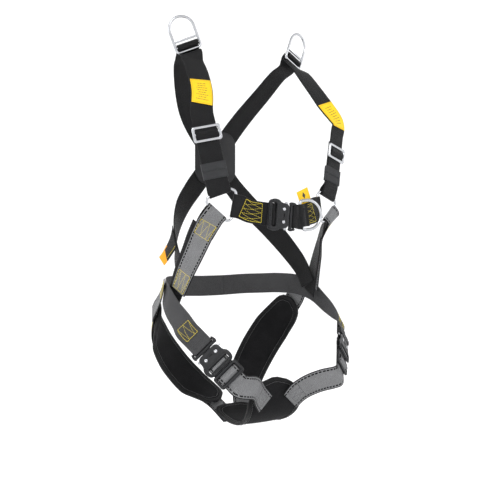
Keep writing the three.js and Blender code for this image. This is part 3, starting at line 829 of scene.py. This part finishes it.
SLIDER = {"width": 57 * MM, "height": 31 * MM, "rim": 5.5 * MM, "bar": 4 * MM, "thick": 4.5 * MM}
ADJUSTER = {"width": 57 * MM, "height": 29 * MM, "rim": 6 * MM, "bar": 4 * MM, "thick": 5.5 * MM}


def make_three_bar(body, name, size, finish, slot, color):
    """A frame with a middle bar, and the strap's hump over that bar."""
    place = flat_place(body, joints[f"{body}_adjust"]["axis"])
    slit = (size["height"] - 2 * size["rim"] - size["bar"]) / 2
    loops = [rounded(0, 0, size["height"], size["width"], 5.5 * MM)]
    for way in (-1, 1):
        middle = way * (size["bar"] + slit) / 2
        loops.append(rounded(middle, 0, slit, size["width"] - 2 * size["rim"], 2 * MM))
    thick = size["thick"]
    obj = plate(name, loops, thick, 0.4 * thick, place, -thick / 2, MAT[finish])
    finish_piece(obj, body, slot, body)
    low, top = -thick / 2 / MM + 0.9, thick / 2 / MM + 1.2
    reach = size["height"] / 2 / MM - size["rim"] / MM - 1.3
    half = [(-reach, low), (-reach + 1.2, low + 1.8), (-3.2, top - 1.0), (-1.6, top)]
    fold(f"{name}_fold", place, half + [(-x, z) for x, z in reversed(half)], color, body)


def make_frames():
    for side in SIDES:
        make_three_bar(f"slider_{side}", f"slider_frame_{side}", SLIDER, "steel", "steel", "black")
        make_three_bar(f"adjuster_{side}", f"adjuster_frame_{side}", ADJUSTER, "buckle", "buckle_black",
                       "grey")


def make_keepers():
    wall, height = 1.6 * MM, 15.5 * MM
    inner_w, inner_h = WEB + 0.7 * MM, 2 * THICK + 1.05 * MM
    outer = rounded(0, 0, inner_w + 2 * wall, inner_h + 2 * wall, 1.6 * MM)
    lip = rounded(0, 0, inner_w + 1.4 * wall, inner_h + 1.4 * wall, 1.3 * MM)
    inner = rounded(0, 0, inner_w, inner_h, 0.5 * MM)
    rim = height / 2 - 0.5 * MM
    rows = [(outer, -rim), (outer, rim), (lip, height / 2), (inner, height / 2), (inner, -height / 2),
            (lip, -height / 2)]
    for side in SIDES:
        for level in ("upper", "lower"):
            node = f"keeper_{level}_{side}"
            track = SHOULDER[side]
            centre, along, across, out, _ = track(facing_s(track, mid(node), (0, -1, 0)))
            middle = centre - out * LAYER / 2
            sections = [[middle + across * x + out * y + along * d for x, y in outline]
                        for outline, d in rows]
            uvs = [[(x, d + y) for x, y in outline] for outline, d in rows]
            obj = loft(f"keeper_band_{level}_{side}", sections, uvs, MAT["keeper"], closed=True)
            shade_by_angle(obj, 50)
            finish_piece(obj, node, "keeper", node)


# ---- buckles: x from the housing to the tongue, y across, z out ----
PIVOT_X, PIVOT_Y, PIVOT_Z = 8, 12.6, 4
SKIN, CORE, GAP = 2.2 * MM, 3 * MM, 0.35 * MM
WINDOW_X = -13.5 * MM
SLOT_X = 28.5 * MM


def buckle_place(prefix):
    """The buckle's frame, from the pivots of its two levers."""
    a, b = joints[f"{prefix}_lever_a_press"], joints[f"{prefix}_lever_b_press"]
    pa, pb = Vector(a["pos_m"]), Vector(b["pos_m"])
    y = (pa - pb).normalized()
    z = -Vector(a["axis"])
    x = y.cross(z)
    return Place((pa + pb) / 2 - x * PIVOT_X * MM - z * PIVOT_Z * MM, x, y)


def curve_to(p0, p1, p2, steps=8):
    """Points of a bend from p0 to p2 that leans towards p1."""
    return [tuple((1 - t) ** 2 * a + 2 * t * (1 - t) * b + t * t * c for a, b, c in zip(p0, p1, p2))
            for t in (i / steps for i in range(1, steps + 1))]


def both_halves(half):
    return in_mm(half + [(x, -y) for x, y in reversed(half)])


def housing_outline():
    half = [(20, 14)] + curve_to((20, 14), (20, 24.5), (9, 24.5)) + curve_to((9, 24.5), (2, 24.5), (-1, 28))
    half += curve_to((-1, 28), (-4, 31), (-11, 31)) + curve_to((-11, 31), (-24, 31), (-24, 19))
    return both_halves(half)


def tongue_outline():
    half = [(-7, 6), (-5, 8), (-4, 8), (-4, 5.2), (1.2, 5.2), (1.2, 8), (20.5, 8)]
    half += curve_to((20.5, 8), (23, 20), (20.5, 26)) + curve_to((20.5, 26), (24, 30), (30, 28))
    return both_halves(half + curve_to((30, 28), (36, 25), (37, 6), 10))


def collar_outline():
    half = [(21.6, 4)] + curve_to((21.6, 4), (23.6, 17), (21.8, 24))
    half += curve_to((21.8, 24), (24, 29), (29.5, 28)) + curve_to((29.5, 28), (34.5, 27), (35, 24.4))
    half += [(33.6, 23.8), (27.4, 23.5), (26.2, 22.3), (26.2, 4)]
    return both_halves(half)


def lever_outline(way):
    half = [(-3, 8.9), (0.4, 8.9), (1.4, 9.1), (8, 9.1), (12.2, 12), (16, 15), (17, 27.5), (12, 28),
            (10.5, 17.5), (8, 16.8), (2, 16), (-3, 13)]
    return in_mm([(x, way * y) for x, y in half])


def circle(x, y, radius):
    return arc(x, y, radius, 0, 345, 23)


def rivet(place, y, low, high):
    """A post with a turned head: (share of the radius, height) rows."""
    radius, head = 3.3 * MM, 0.9 * MM
    rows = [(0.02, high + 0.1 * MM), (0.35, high), (0.5, high + 0.25 * MM), (0.85, high + 0.1 * MM),
            (1.0, high - 0.3 * MM), (1.0, high - head), (0.66, high - head), (0.66, low)]
    sections = [[place(*point, z) for point in arc(PIVOT_X * MM, y, radius * f, 0, 345, 23)] for f, z in rows]
    uvs = [[(k * MM, z) for k in range(24)] for _, z in rows]
    return loft("rivet", sections, uvs, MAT["steel"])


def make_buckle(prefix, housing, tongue_body, housing_color, tongue_color):
    place = buckle_place(prefix)
    low = SKIN + GAP
    high = low + CORE
    front = high + GAP
    top = front + SKIN
    window = rounded(WINDOW_X, 0, 10 * MM, 47 * MM, 3.5 * MM)
    slit = rounded(9 * MM, 0, 2.6 * MM, 7 * MM, 1.25 * MM)
    pivots = [circle(PIVOT_X * MM, way * PIVOT_Y * MM, 2.55 * MM) for way in (-1, 1)]

    def part(name, loops, thick, bevel, at, finish, body, slot, *replaced):
        finish_piece(plate(name, loops, thick, bevel, place, at, MAT[finish]), body, slot, *replaced)

    part(f"{prefix}_housing_back", [housing_outline(), window], SKIN, 0.7 * MM, 0, "buckle", housing,
         "buckle_black", f"{prefix}_back_plate")
    part(f"{prefix}_housing_front", [housing_outline(), window, slit] + pivots, SKIN, 0.8 * MM, front,
         "buckle", housing, "buckle_black", f"{prefix}_front_plate")
    rim = [rounded(WINDOW_X, 0, 15.5 * MM, 52 * MM, 6 * MM),
           rounded(WINDOW_X, 0, 10.6 * MM, 47.6 * MM, 3.8 * MM)]
    part(f"{prefix}_window_rim", rim, 1.7 * MM, 0.7 * MM, top - 0.3 * MM, "buckle", housing, "buckle_black")
    rivets = [rivet(place, way * PIVOT_Y * MM, SKIN, top + GAP + 0.9 * MM) for way in (-1, 1)]
    finish_piece(merge(f"{prefix}_rivets", rivets), housing, "steel")
    for key, way in (("a", 1), ("b", -1)):
        node = f"{prefix}_lever_{key}"
        loops = [lever_outline(way), circle(PIVOT_X * MM, way * PIVOT_Y * MM, 2.5 * MM)]
        part(f"{prefix}_latch_{key}", loops, CORE, 0.35 * MM, low, "steel", node, "steel", node)
    slot = rounded(SLOT_X, 0, 4.4 * MM, 46 * MM, 2 * MM)
    part(f"{prefix}_male_plate", [tongue_outline(), slot], CORE, 0.5 * MM, low, "buckle", tongue_body,
         "buckle_black", f"{prefix}_tongue")
    part(f"{prefix}_male_collar", [collar_outline()], 3.4 * MM, 1.3 * MM, high - 0.2 * MM, "buckle",
         tongue_body, "buckle_black")
    bulge = [(-17, -0.3), (-16.8, 3.2), (-15.6, 5.9), (-13.5, 6.9), (-11.4, 5.9), (-10.2, 3.2), (-10, -0.3)]
    fold(f"{prefix}_housing_fold", place, bulge, housing_color, housing)
    over = [(28.4, -0.4), (28.5, 3), (29.6, 6.2), (32.5, 7.4), (36.2, 6.9), (39.8, 4.6), (43.5, 2.2),
            (48, 1.3), (56, 1.2)]
    fold(f"{prefix}_tongue_fold", place, over, tongue_color, tongue_body)


# ---- the dorsal plate ----
def make_dorsal_plate():
    low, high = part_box("dorsal_plate")
    place = Place((0, 0.114, (low[2] + high[2]) / 2), (-1, 0, 0), (0, 0, 1))
    under, over, wall = -1.45 * MM, 4.35 * MM, 3 * MM
    oval = [(47 * MM * math.cos(t), 53 * MM * math.sin(t)) for t in (k * math.pi / 36 for k in range(72))]
    ridge = [[(x * f, y * f) for x, y in oval] for f in (0.86, 0.8)]
    parts = []

    def add(loops, thick, bevel, at, where=place):
        parts.append(plate("part", loops, thick, bevel, where, at, MAT["plastic"]))

    add([rounded(0, 0, 104 * MM, 116 * MM, 30 * MM, 12)], wall, 1.2 * MM, under - wall)
    add([oval], wall, 1.2 * MM, over)
    add(ridge, 1.6 * MM, 0.6 * MM, over + wall - 0.4 * MM)
    for x, y in ((38, 0), (-38, 0), (0, 46), (0, -46)):
        add([circle(x * MM, y * MM, 4 * MM)], over - under + 2 * MM, 0.4 * MM, under - 1 * MM)
    pivot = Vector(joints["dorsal_d_swing"]["pos_m"])
    lug_y, hole_z = pivot.z - place.o.z, pivot.y - place.o.y
    lug = rounded(lug_y, over + wall - 1 * MM + 5.75 * MM, 13 * MM, 11.5 * MM, 3 * MM)
    for way in (-1, 1):
        side = Place(place(way * 15 * MM - 4.5 * MM, 0, 0), place.y, place.z)
        add([lug, circle(lug_y, hole_z, 3.5 * MM)], 9 * MM, 0.9 * MM, 0, side)
    finish_piece(merge("back_plate", parts), "webbing", "dorsal_plastic", "dorsal_plate")


# ---- labels and tags ----
CLOTH = 0.8 * MM
LABEL_WIDTH = 41 * MM
LABEL_LENGTH = 63 * MM
TAG_TAPE_WIDTH = 20 * MM
WAIST_TAG_WIDTH = 26 * MM


def printed(name, track, marks):
    """Flat printed marks on a label: each is a list of (across, distance) corners."""
    bm = bmesh.new()
    for mark in marks:
        rings = []
        for height in (CLOTH / 2 - 0.1 * MM, CLOTH / 2 + 0.06 * MM):
            ring = []
            for u, s in mark:
                centre, _, across, out, _ = track(s)
                ring.append(bm.verts.new(centre + across * u + out * height))
            rings.append(ring)
        n = len(mark)
        for k in range(n):
            bm.faces.new((rings[0][k], rings[0][(k + 1) % n], rings[1][(k + 1) % n], rings[1][k]))
        bm.faces.new(rings[0][::-1])
        bm.faces.new(rings[1])
    obj = new_object(name, mesh_from(bm, name), MAT["print"], smooth=False)
    finish_piece(obj, "webbing", "label_yellow")


def dash_rows(start, end, count, reach, height=1.1 * MM):
    """Rows of dashes that stand for lines of small print."""
    marks = []
    for i in range(count):
        s = start + (end - start) * (i + 0.5) / count
        half = reach * rng.uniform(0.55, 1.0)
        u = -half
        while u < half:
            w = min(rng.uniform(1.6, 5.2) * MM, half - u)
            marks.append([(u, s), (u + w, s), (u + w, s + height), (u, s + height)])
            u += w + 0.8 * MM
    return marks


def make_labels():
    for side in SIDES:
        node = f"shoulder_label_{side}"
        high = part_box(node)[1]
        track = Track(node, (mid(node)[0], high[1], high[2]), (mid(node), FRONT))
        reach = min(track.length, LABEL_LENGTH)
        tag(f"sewn_label_{side}", track, "yellow", LABEL_WIDTH, CLOTH, "stretched", "label_yellow", node,
            s1=reach)
        w, s0, s1 = 18.2 * MM, 2.5 * MM, reach - 2.5 * MM
        border = [(-w, s0), (w, s0), (w, s1), (-w, s1), (-w, s0)]
        sew(f"label_seam_{side}", track, [border], "label_thread", CLOTH / 2, 0.35 * MM, "label_yellow")
        printed(f"label_print_{side}", track, dash_rows(8 * MM, reach - 8 * MM, 8, 13 * MM))


def make_chest_tag():
    node = "chest_tag"
    track = Track(node, (0, 0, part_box(node)[1][2]), (mid(node), FRONT))
    tag("standing_tag", track, "yellow", None, CLOTH, "stretched", "label_yellow", node)
    # a short tape holds the tag's foot to the strap's inner layer
    centre, _, _, out, _ = track(track.length - 7 * MM)
    chest = CHEST["left"]
    sewn, _, chest_across, chest_out, _ = chest(facing_s(chest, centre, FRONT))
    start = sewn - chest_out * (LAYER * 1.1)
    end = centre + out * 0.9 * MM
    way = (end - start) / np.linalg.norm(end - start)
    sag = np.array([0, 0, 3 * MM])
    points = [start, start + (end - start) * 0.5 - sag, end]
    tape = Path(points, [np.cross(way, chest_across)] * 3, TAG_TAPE_WIDTH)
    tag("tag_tape", tape, "black", TAG_TAPE_WIDTH, CLOTH, "hung", "webbing_black", step=2 * MM)
    # a plain diamond and two rows of dashes stand in for the maker's print
    top = 12 * MM
    diamond = [(0, top - 7 * MM), (5 * MM, top), (0, top + 7 * MM), (-5 * MM, top)]
    printed("tag_print", track, [diamond] + dash_rows(22 * MM, 31 * MM, 2, 14 * MM, 1.6 * MM))


# ---- sewn boxes, and black backing straps that partly stand in for painted shadow ----
CHEST_BOX = {"left": ((0.064, -0.147, -0.332), 27 * MM), "right": ((-0.073, -0.144, -0.331), 40 * MM)}


def make_sewing():
    for side, k in WAYS:
        track = CHEST[side]
        point, length = CHEST_BOX[side]
        sew_box(f"chest_box_{side}", track, facing_s(track, point, FRONT), length, 37 * MM, 4, "black",
                crossed=True)

        track = SIDE[side]
        near_ring = facing_s(track, (k * 0.147, -0.086, -0.37), (k, 0, 0))
        # a black strap under each grey side strap, set 9 mm to one side so a dark band shows beside it:
        # partly the black back strap beneath, partly a painted shadow on the body
        extra_strap(f"side_backing_painted_shade_{side}", track, "black", near_ring - 8 * MM,
                    track.length + 22 * MM, -LAYER, k * -9 * MM)
        sew_box(f"side_box_upper_{side}", track, near_ring - 10 * MM, 40 * MM, 33 * MM, 5, "grey")
        sew_box(f"side_box_lower_{side}", track, track.length - 22 * MM, 38 * MM, 33 * MM, 5, "grey")

        track, leg = HIP[side], LEG[side]
        sew_box(f"hip_box_{side}", track, track.length - 54 * MM, 32 * MM, 28 * MM, 4, "dark")
        sew_box(f"leg_box_{side}", leg, leg.length - 20 * MM, 26 * MM, 33 * MM, 6, "grey",
                thread="black_thread")
        if side == "left":
            lap = facing_s(track, (0, 0.118, -0.488), REARWARD)
            sew_box("seat_lap_box", track, lap, 38 * MM, 33 * MM, 6, "dark", crossed=True)


def make_waist_tail():
    """The waist's loose end at the wearer's right: it follows the back strap, turns outward and has a tag."""
    track = BACK["right"]
    top = facing_s(track, (-0.13, 0.062, -0.37), (-1, 0.4, 0))
    down = 1 if track(top + MM)[0][2] < track(top)[0][2] else -1
    turned = np.array([-1.0, -0.1, 0.0])
    points, outs, backs = [], [], []
    half = WEB / 2
    for d in np.linspace(0, 60 * MM, 13):
        centre, along, across, out, _ = track(top + down * d)
        front = across if across[1] < 0 else -across
        turn = min(d / (28 * MM), 1.0)
        turn = turn * turn * (3 - 2 * turn)
        facing = out * (1 - turn) + turned * turn
        facing /= np.linalg.norm(facing)
        behind = np.cross(facing, along)
        behind = behind if behind[1] > 0 else -behind
        points.append(centre + front * half + behind * half + facing * LAYER * 1.25)
        outs.append(facing)
        backs.append(behind)
    tail = Path(points, outs)
    extra_strap("waist_tail", tail, "black", 0, tail.length)
    for number, s in enumerate((8 * MM, tail.length - 5 * MM)):
        sew(f"waist_tail_seam_{number}", tail, [[(-19 * MM, s), (19 * MM, s)]], "thread")
    # the tag is sewn to the inner side of the loose end and stands out behind it
    behind, facing = backs[8], outs[8]
    foot = points[8] + behind * 10 * MM - facing * 1.6 * MM
    drop = np.array([0, 0, 0.25])
    rises = ((0, 0), (8, 0), (14, 0.2), (22, 1.4), (30, 3.6))
    tag_points = [foot + behind * d * MM - drop * d * MM + facing * r * MM for d, r in rises]
    route = Path(tag_points, [facing] * len(rises), WAIST_TAG_WIDTH)
    tag("waist_tag", route, "orange", WAIST_TAG_WIDTH, 0.6 * MM, "hung", "label_yellow", step=2 * MM)


# ---- padded parts ----
PAD_BULGE = 3 * MM
PAD_BORDER = 7 * MM
QUILT_HALF = 1.9 * MM
PAD_TAPE_INSET = 3 * MM
PAD_TAPE_WIDTH = 9 * MM
PAD_SEAM_INSET = 8.5 * MM
ON_PAD = 4 * MM + PAD_BULGE + THICK / 2
CROTCH_PAD = {"thick": 7 * MM, "end": 26 * MM, "quilt": 30 * MM, "corner": 24 * MM, "tape": 6 * MM,
              "seam": 3.4 * MM}
THIGH_PAD = {"thick": 8 * MM, "end": 22 * MM, "quilt": 34 * MM, "corner": 20 * MM, "tape": 6.5 * MM,
             "seam": 3.8 * MM}


def pad_shape(name, track, thick, round_end, step=3.5 * MM, across_points=26):
    """A closed pad along a track: crowned, thinner at its edges, with rounded ends."""
    count = int(track.length / step)
    sections, uvs = [], []
    for i in range(count + 1):
        s = track.length * i / count
        centre, _, across, out, width = track(s)
        near_end = min(s, track.length - s)
        tuck = math.sqrt(max(0.02, 1 - (1 - min(near_end / round_end, 1.0)) ** 2))
        half = width / 2 - (1 - tuck) * 0.35 * width
        section, uv = [], []
        for j in range(across_points):
            a = 2 * math.pi * j / across_points
            x = half * math.copysign(abs(math.cos(a)) ** 0.7, math.cos(a))
            crown = 0.55 + 0.45 * (1 - (x / half) ** 2)
            y = thick / 2 * math.copysign(abs(math.sin(a)) ** 0.6, math.sin(a)) * crown * (0.4 + 0.6 * tuck)
            section.append(centre + across * x + out * y)
            uv.append((x, s))
        sections.append(section)
        uvs.append(uv)
    return loft(name, sections, uvs, MAT["pad"])


def puff(obj, seam, frames=14, pressure=4.0):
    """Runs a short cloth simulation with a little inner pressure; points on the seams hold still.

    At this pressure the surface moves by less than half a millimetre, so the pads keep their lofted shape."""
    start = [v.co.copy() for v in obj.data.vertices]
    group = obj.vertex_groups.new(name="held")
    uv = {}
    for loop, data in zip(obj.data.loops, obj.data.uv_layers["uv"].data):
        uv[loop.vertex_index] = data.uv.copy()
    for i, (u, s) in uv.items():
        group.add([i], 1.0 if seam(u, s) else 0.0, "REPLACE")
    cloth = obj.modifiers.new("puff", "CLOTH")
    cloth.settings.use_pressure = True
    cloth.settings.uniform_pressure_force = pressure
    cloth.settings.effector_weights.gravity = 0
    cloth.settings.vertex_group_mass = "held"
    cloth.settings.mass = 0.3
    cloth.settings.tension_stiffness = 12
    cloth.settings.compression_stiffness = 6
    cloth.settings.bending_stiffness = 0.4
    cloth.point_cache.frame_start = 1
    cloth.point_cache.frame_end = frames
    scene = bpy.context.scene
    for frame_number in range(1, frames + 1):
        scene.frame_set(frame_number)
    result = obj.evaluated_get(bpy.context.evaluated_depsgraph_get())
    moved = [v.co.copy() for v in result.data.vertices]
    obj.modifiers.remove(cloth)
    obj.vertex_groups.clear()
    for vertex, a, b in zip(obj.data.vertices, start, moved):
        step = b - a
        if step.length > PAD_BULGE:
            step *= PAD_BULGE / step.length
        vertex.co = a + step
    scene.frame_set(1)


def smooth_once(obj):
    """Applies one level of subdivision."""
    obj.modifiers.new("smooth", "SUBSURF").levels = 1
    result = obj.evaluated_get(bpy.context.evaluated_depsgraph_get())
    mesh = bpy.data.meshes.new_from_object(result)
    mesh.name = obj.name
    obj.modifiers.clear()
    obj.data = mesh
    mesh.shade_smooth()


def edge_line(track, inset, corner):
    """A closed loop of (across, distance) points just inside a pad's edge."""
    inside = track.length - 2 * inset
    right, left = [], []
    steps = 40
    for i in range(steps + 1):
        s = inset + inside * i / steps
        near = min(s - inset, track.length - inset - s)
        trim = corner * (1 - math.sqrt(max(0.0, 1 - (1 - min(near / corner, 1.0)) ** 2)))
        half = track(s)[4] / 2 - inset - trim
        right.append((half, s))
        left.append((-half, s))
    return right + left[::-1] + right[:1]


def bound_edge(name, track, line, thick, width):
    """Binding tape round a pad's edge: a rounded band along a closed (across, distance) line."""
    points = line[:-1]
    n = len(points)
    profile = [(width / 2 * math.copysign(abs(math.cos(a)) ** 0.5, math.cos(a)),
                thick / 2 * math.copysign(abs(math.sin(a)) ** 0.5, math.sin(a)))
               for a in (k * math.pi / 8 for k in range(16))]
    spots = []
    for u, s in points:
        centre, _, across, out, _ = track(s)
        spots.append((centre + across * u, out))
    sections, uvs, run = [], [], 0.0
    for i, (p, out) in enumerate(spots):
        way = spots[(i + 1) % n][0] - spots[i - 1][0]
        way /= np.linalg.norm(way)
        side = np.cross(way, out)
        sections.append([p + side * x + out * y for x, y in profile])
        uvs.append([(x, run) for x, _ in profile])
        run += np.linalg.norm(spots[(i + 1) % n][0] - p)
    finish_piece(loft(name, sections, uvs, MAT["black"], closed=True), "webbing", "webbing_black")


def make_pad(node, name, binding, seams, track, size):
    """A pad's cushion, the tape round its edge and a seam on each face."""
    obj = pad_shape(name, track, size["thick"], size["end"])
    quilt = size["quilt"]

    def on_seam(u, s):
        return abs(u) > track(s)[4] / 2 - PAD_BORDER or min(s % quilt, quilt - s % quilt) < QUILT_HALF

    puff(obj, on_seam)
    smooth_once(obj)
    finish_piece(obj, "webbing", "pad_black", node)
    line = edge_line(track, PAD_TAPE_INSET, size["corner"])
    bound_edge(binding, track, line, size["tape"], PAD_TAPE_WIDTH)
    inner = edge_line(track, PAD_SEAM_INSET, size["corner"])
    for seam, lift in zip(seams, (size["seam"], -size["seam"])):
        sew(seam, track, [inner], "seam_thread", lift, slot="pad_black")


def make_crotch_pad():
    track = Track("crotch_pad", (0, -0.117, -0.66), ((0, -0.12, -0.69), FRONT))
    make_pad("crotch_pad", "crotch_cushion", "crotch_binding", ("crotch_seam_outer", "crotch_seam_inner"),
             track, CROTCH_PAD)
    return track


def make_rear_pads():
    for side, k in WAYS:
        node = f"rear_pad_{side}"
        low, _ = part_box(node)
        track = Track(node, (0, 0.04, low[2]), ((k * 0.112, 0.11, -0.64), (k * 0.45, 0.88, 0)))
        REAR[side] = track
        make_pad(node, f"thigh_cushion_{side}", f"thigh_binding_{side}",
                 (f"thigh_seam_{side}", f"thigh_seam_inner_{side}"), track, THIGH_PAD)
        # the grey webbing runs along the pad's outer face, almost to both of its ends
        end = track.length - 6 * MM
        extra_strap(f"thigh_webbing_{side}", track, "grey", 6 * MM, end, ON_PAD)
        boxes = (("thigh_box", track.length - 42 * MM, 44 * MM), ("thigh_box_low", 34 * MM, 36 * MM))
        for name, middle, length in boxes:
            sew_box(f"{name}_{side}", track, middle, length, 32 * MM, 5, "grey", lift=ON_PAD + THICK / 2)


def bezier_path(controls, out0, out1, count=15):
    """A smooth route through four control points, its facing turning evenly from one end to the other."""
    points, outs = [], []
    for t in np.linspace(0, 1, count):
        weights = ((1 - t) ** 3, 3 * t * (1 - t) ** 2, 3 * t * t * (1 - t), t ** 3)
        points.append(sum(w * c for w, c in zip(weights, controls)))
        outs.append(out0 * (1 - t) + out1 * t)
    return Path(points, outs)


def link(name, path):
    """Grey webbing that runs on from a thigh pad, with its far end sewn down in a box."""
    extra_strap(name, path, "grey", 0, path.length)
    sew_box(f"{name}_box", path, path.length - 17 * MM, 26 * MM, 33 * MM, 4, "grey")


def make_thigh_links(crotch):
    """Each thigh pad is joined to the outer face of the hip strap and to the outer face of the crotch pad."""
    over = ON_PAD + LAYER
    for side, k in WAYS:
        pad, hip = REAR[side], HIP[side]
        near, _, _, near_out, _ = pad(pad.length - 24 * MM)
        end, along, _, end_out, _ = pad(pad.length)
        centre, _, up, hip_out, _ = hip(hip.nearest(end + along * 30 * MM))
        up = up if up[2] > 0 else -up
        on_hip = centre + hip_out * LAYER * 1.3
        controls = (near + near_out * over, end + end_out * over,
                    on_hip - up * 24 * MM, on_hip + up * 18 * MM)
        link(f"thigh_link_{side}", bezier_path(controls, near_out, hip_out))

        low, _, _, low_out, _ = pad(26 * MM)
        tip, _, _, tip_out, _ = pad(0)
        spots = []
        for back in (8 * MM, 46 * MM):
            centre, _, across, crotch_out, _ = crotch(crotch.length - back)
            across = across if across[0] > 0 else -across
            spots.append(centre + across * k * 24 * MM + crotch_out * (3.5 * MM + PAD_BULGE + THICK))
        controls = (low + low_out * over, tip + tip_out * over, spots[0], spots[1])
        link(f"crotch_link_{side}", bezier_path(controls, low_out, crotch_out))


def make_front_loop():
    """The webbing loop that holds the front D."""
    node = "front_d_loop"
    track = Track(node, (0, -0.2, -0.34), (mid(node), FRONT))
    obj = strap("front_ring_loop", track, MAT["black"], step=1 * MM)
    finish_piece(obj, "webbing", "webbing_black", node)


make_shoulder_ds()
make_frames()
make_keepers()
make_rings()
make_body_d("front_d", "front_ring", "front_d_swing")
make_body_d("dorsal_d", "dorsal_ring", "dorsal_d_swing")
make_buckle("chest", "chest_housing", "webbing", "black", "black")
for side in SIDES:
    make_buckle(f"leg_{side}", "webbing", f"leg_{side}_tongue", "grey", "dark")
make_dorsal_plate()
make_labels()
make_chest_tag()
make_sewing()
make_waist_tail()
crotch_track = make_crotch_pad()
make_rear_pads()
make_thigh_links(crotch_track)
make_front_loop()


# ---- stage ----
STUDIO_GLOW = 0.22
SKY_LIGHT = 0.8
LIGHTS = (("key", (-1.6, -2.2, 1.6), 1.2, 34), ("fill", (2.2, -1.8, 0.4), 1.6, 10),
          ("back", (0.9, 2.4, 1.4), 1.6, 22), ("left", (-2.6, 0.6, 0.2), 1.2, 12))


def make_stage():
    """A white round studio: a floor that curves up into a wall on every side."""
    floor_z, radius, bend, wall = -0.95, 5.0, 1.5, 4.0
    profile = [(0.02, floor_z), (radius - bend, floor_z)]
    profile += [(radius - bend + bend * math.sin(a), floor_z + bend * (1 - math.cos(a)))
                for a in (i * math.pi / 24 for i in range(1, 13))]
    profile.append((radius, floor_z + wall))
    sides = 96
    verts = [(r * math.cos(a), r * math.sin(a), z) for r, z in profile
             for a in (2 * math.pi * k / sides for k in range(sides))]
    faces = []
    for row in range(0, (len(profile) - 1) * sides, sides):
        for k in range(sides):
            n = (k + 1) % sides
            faces.append((row + k, row + n, row + sides + n, row + sides + k))
    faces.append(tuple(range(sides))[::-1])
    mesh = bpy.data.meshes.new("studio")
    mesh.from_pydata(verts, [], faces)
    paint = Nodes("studio_white", (0.86, 0.86, 0.865), 0.9)
    paint.shader.inputs["Emission Color"].default_value = (1, 1, 1, 1)
    paint.shader.inputs["Emission Strength"].default_value = STUDIO_GLOW
    new_object("studio", mesh, paint.material)

    world = bpy.data.worlds.new("studio")
    world.use_nodes = True
    background = world.node_tree.nodes["Background"]
    background.inputs["Color"].default_value = (1, 1, 1, 1)
    background.inputs["Strength"].default_value = SKY_LIGHT
    bpy.context.scene.world = world
    for name, at, size, power in LIGHTS:
        data = bpy.data.lights.new(name, "AREA")
        data.size = size
        data.energy = power
        light = bpy.data.objects.new(name, data)
        light.location = at
        aim = CAMERA_AIM - light.location
        light.rotation_euler = aim.to_track_quat("-Z", "Y").to_euler()
        bpy.context.scene.collection.objects.link(light)
    bpy.context.scene.view_settings.view_transform = "Standard"


make_stage()
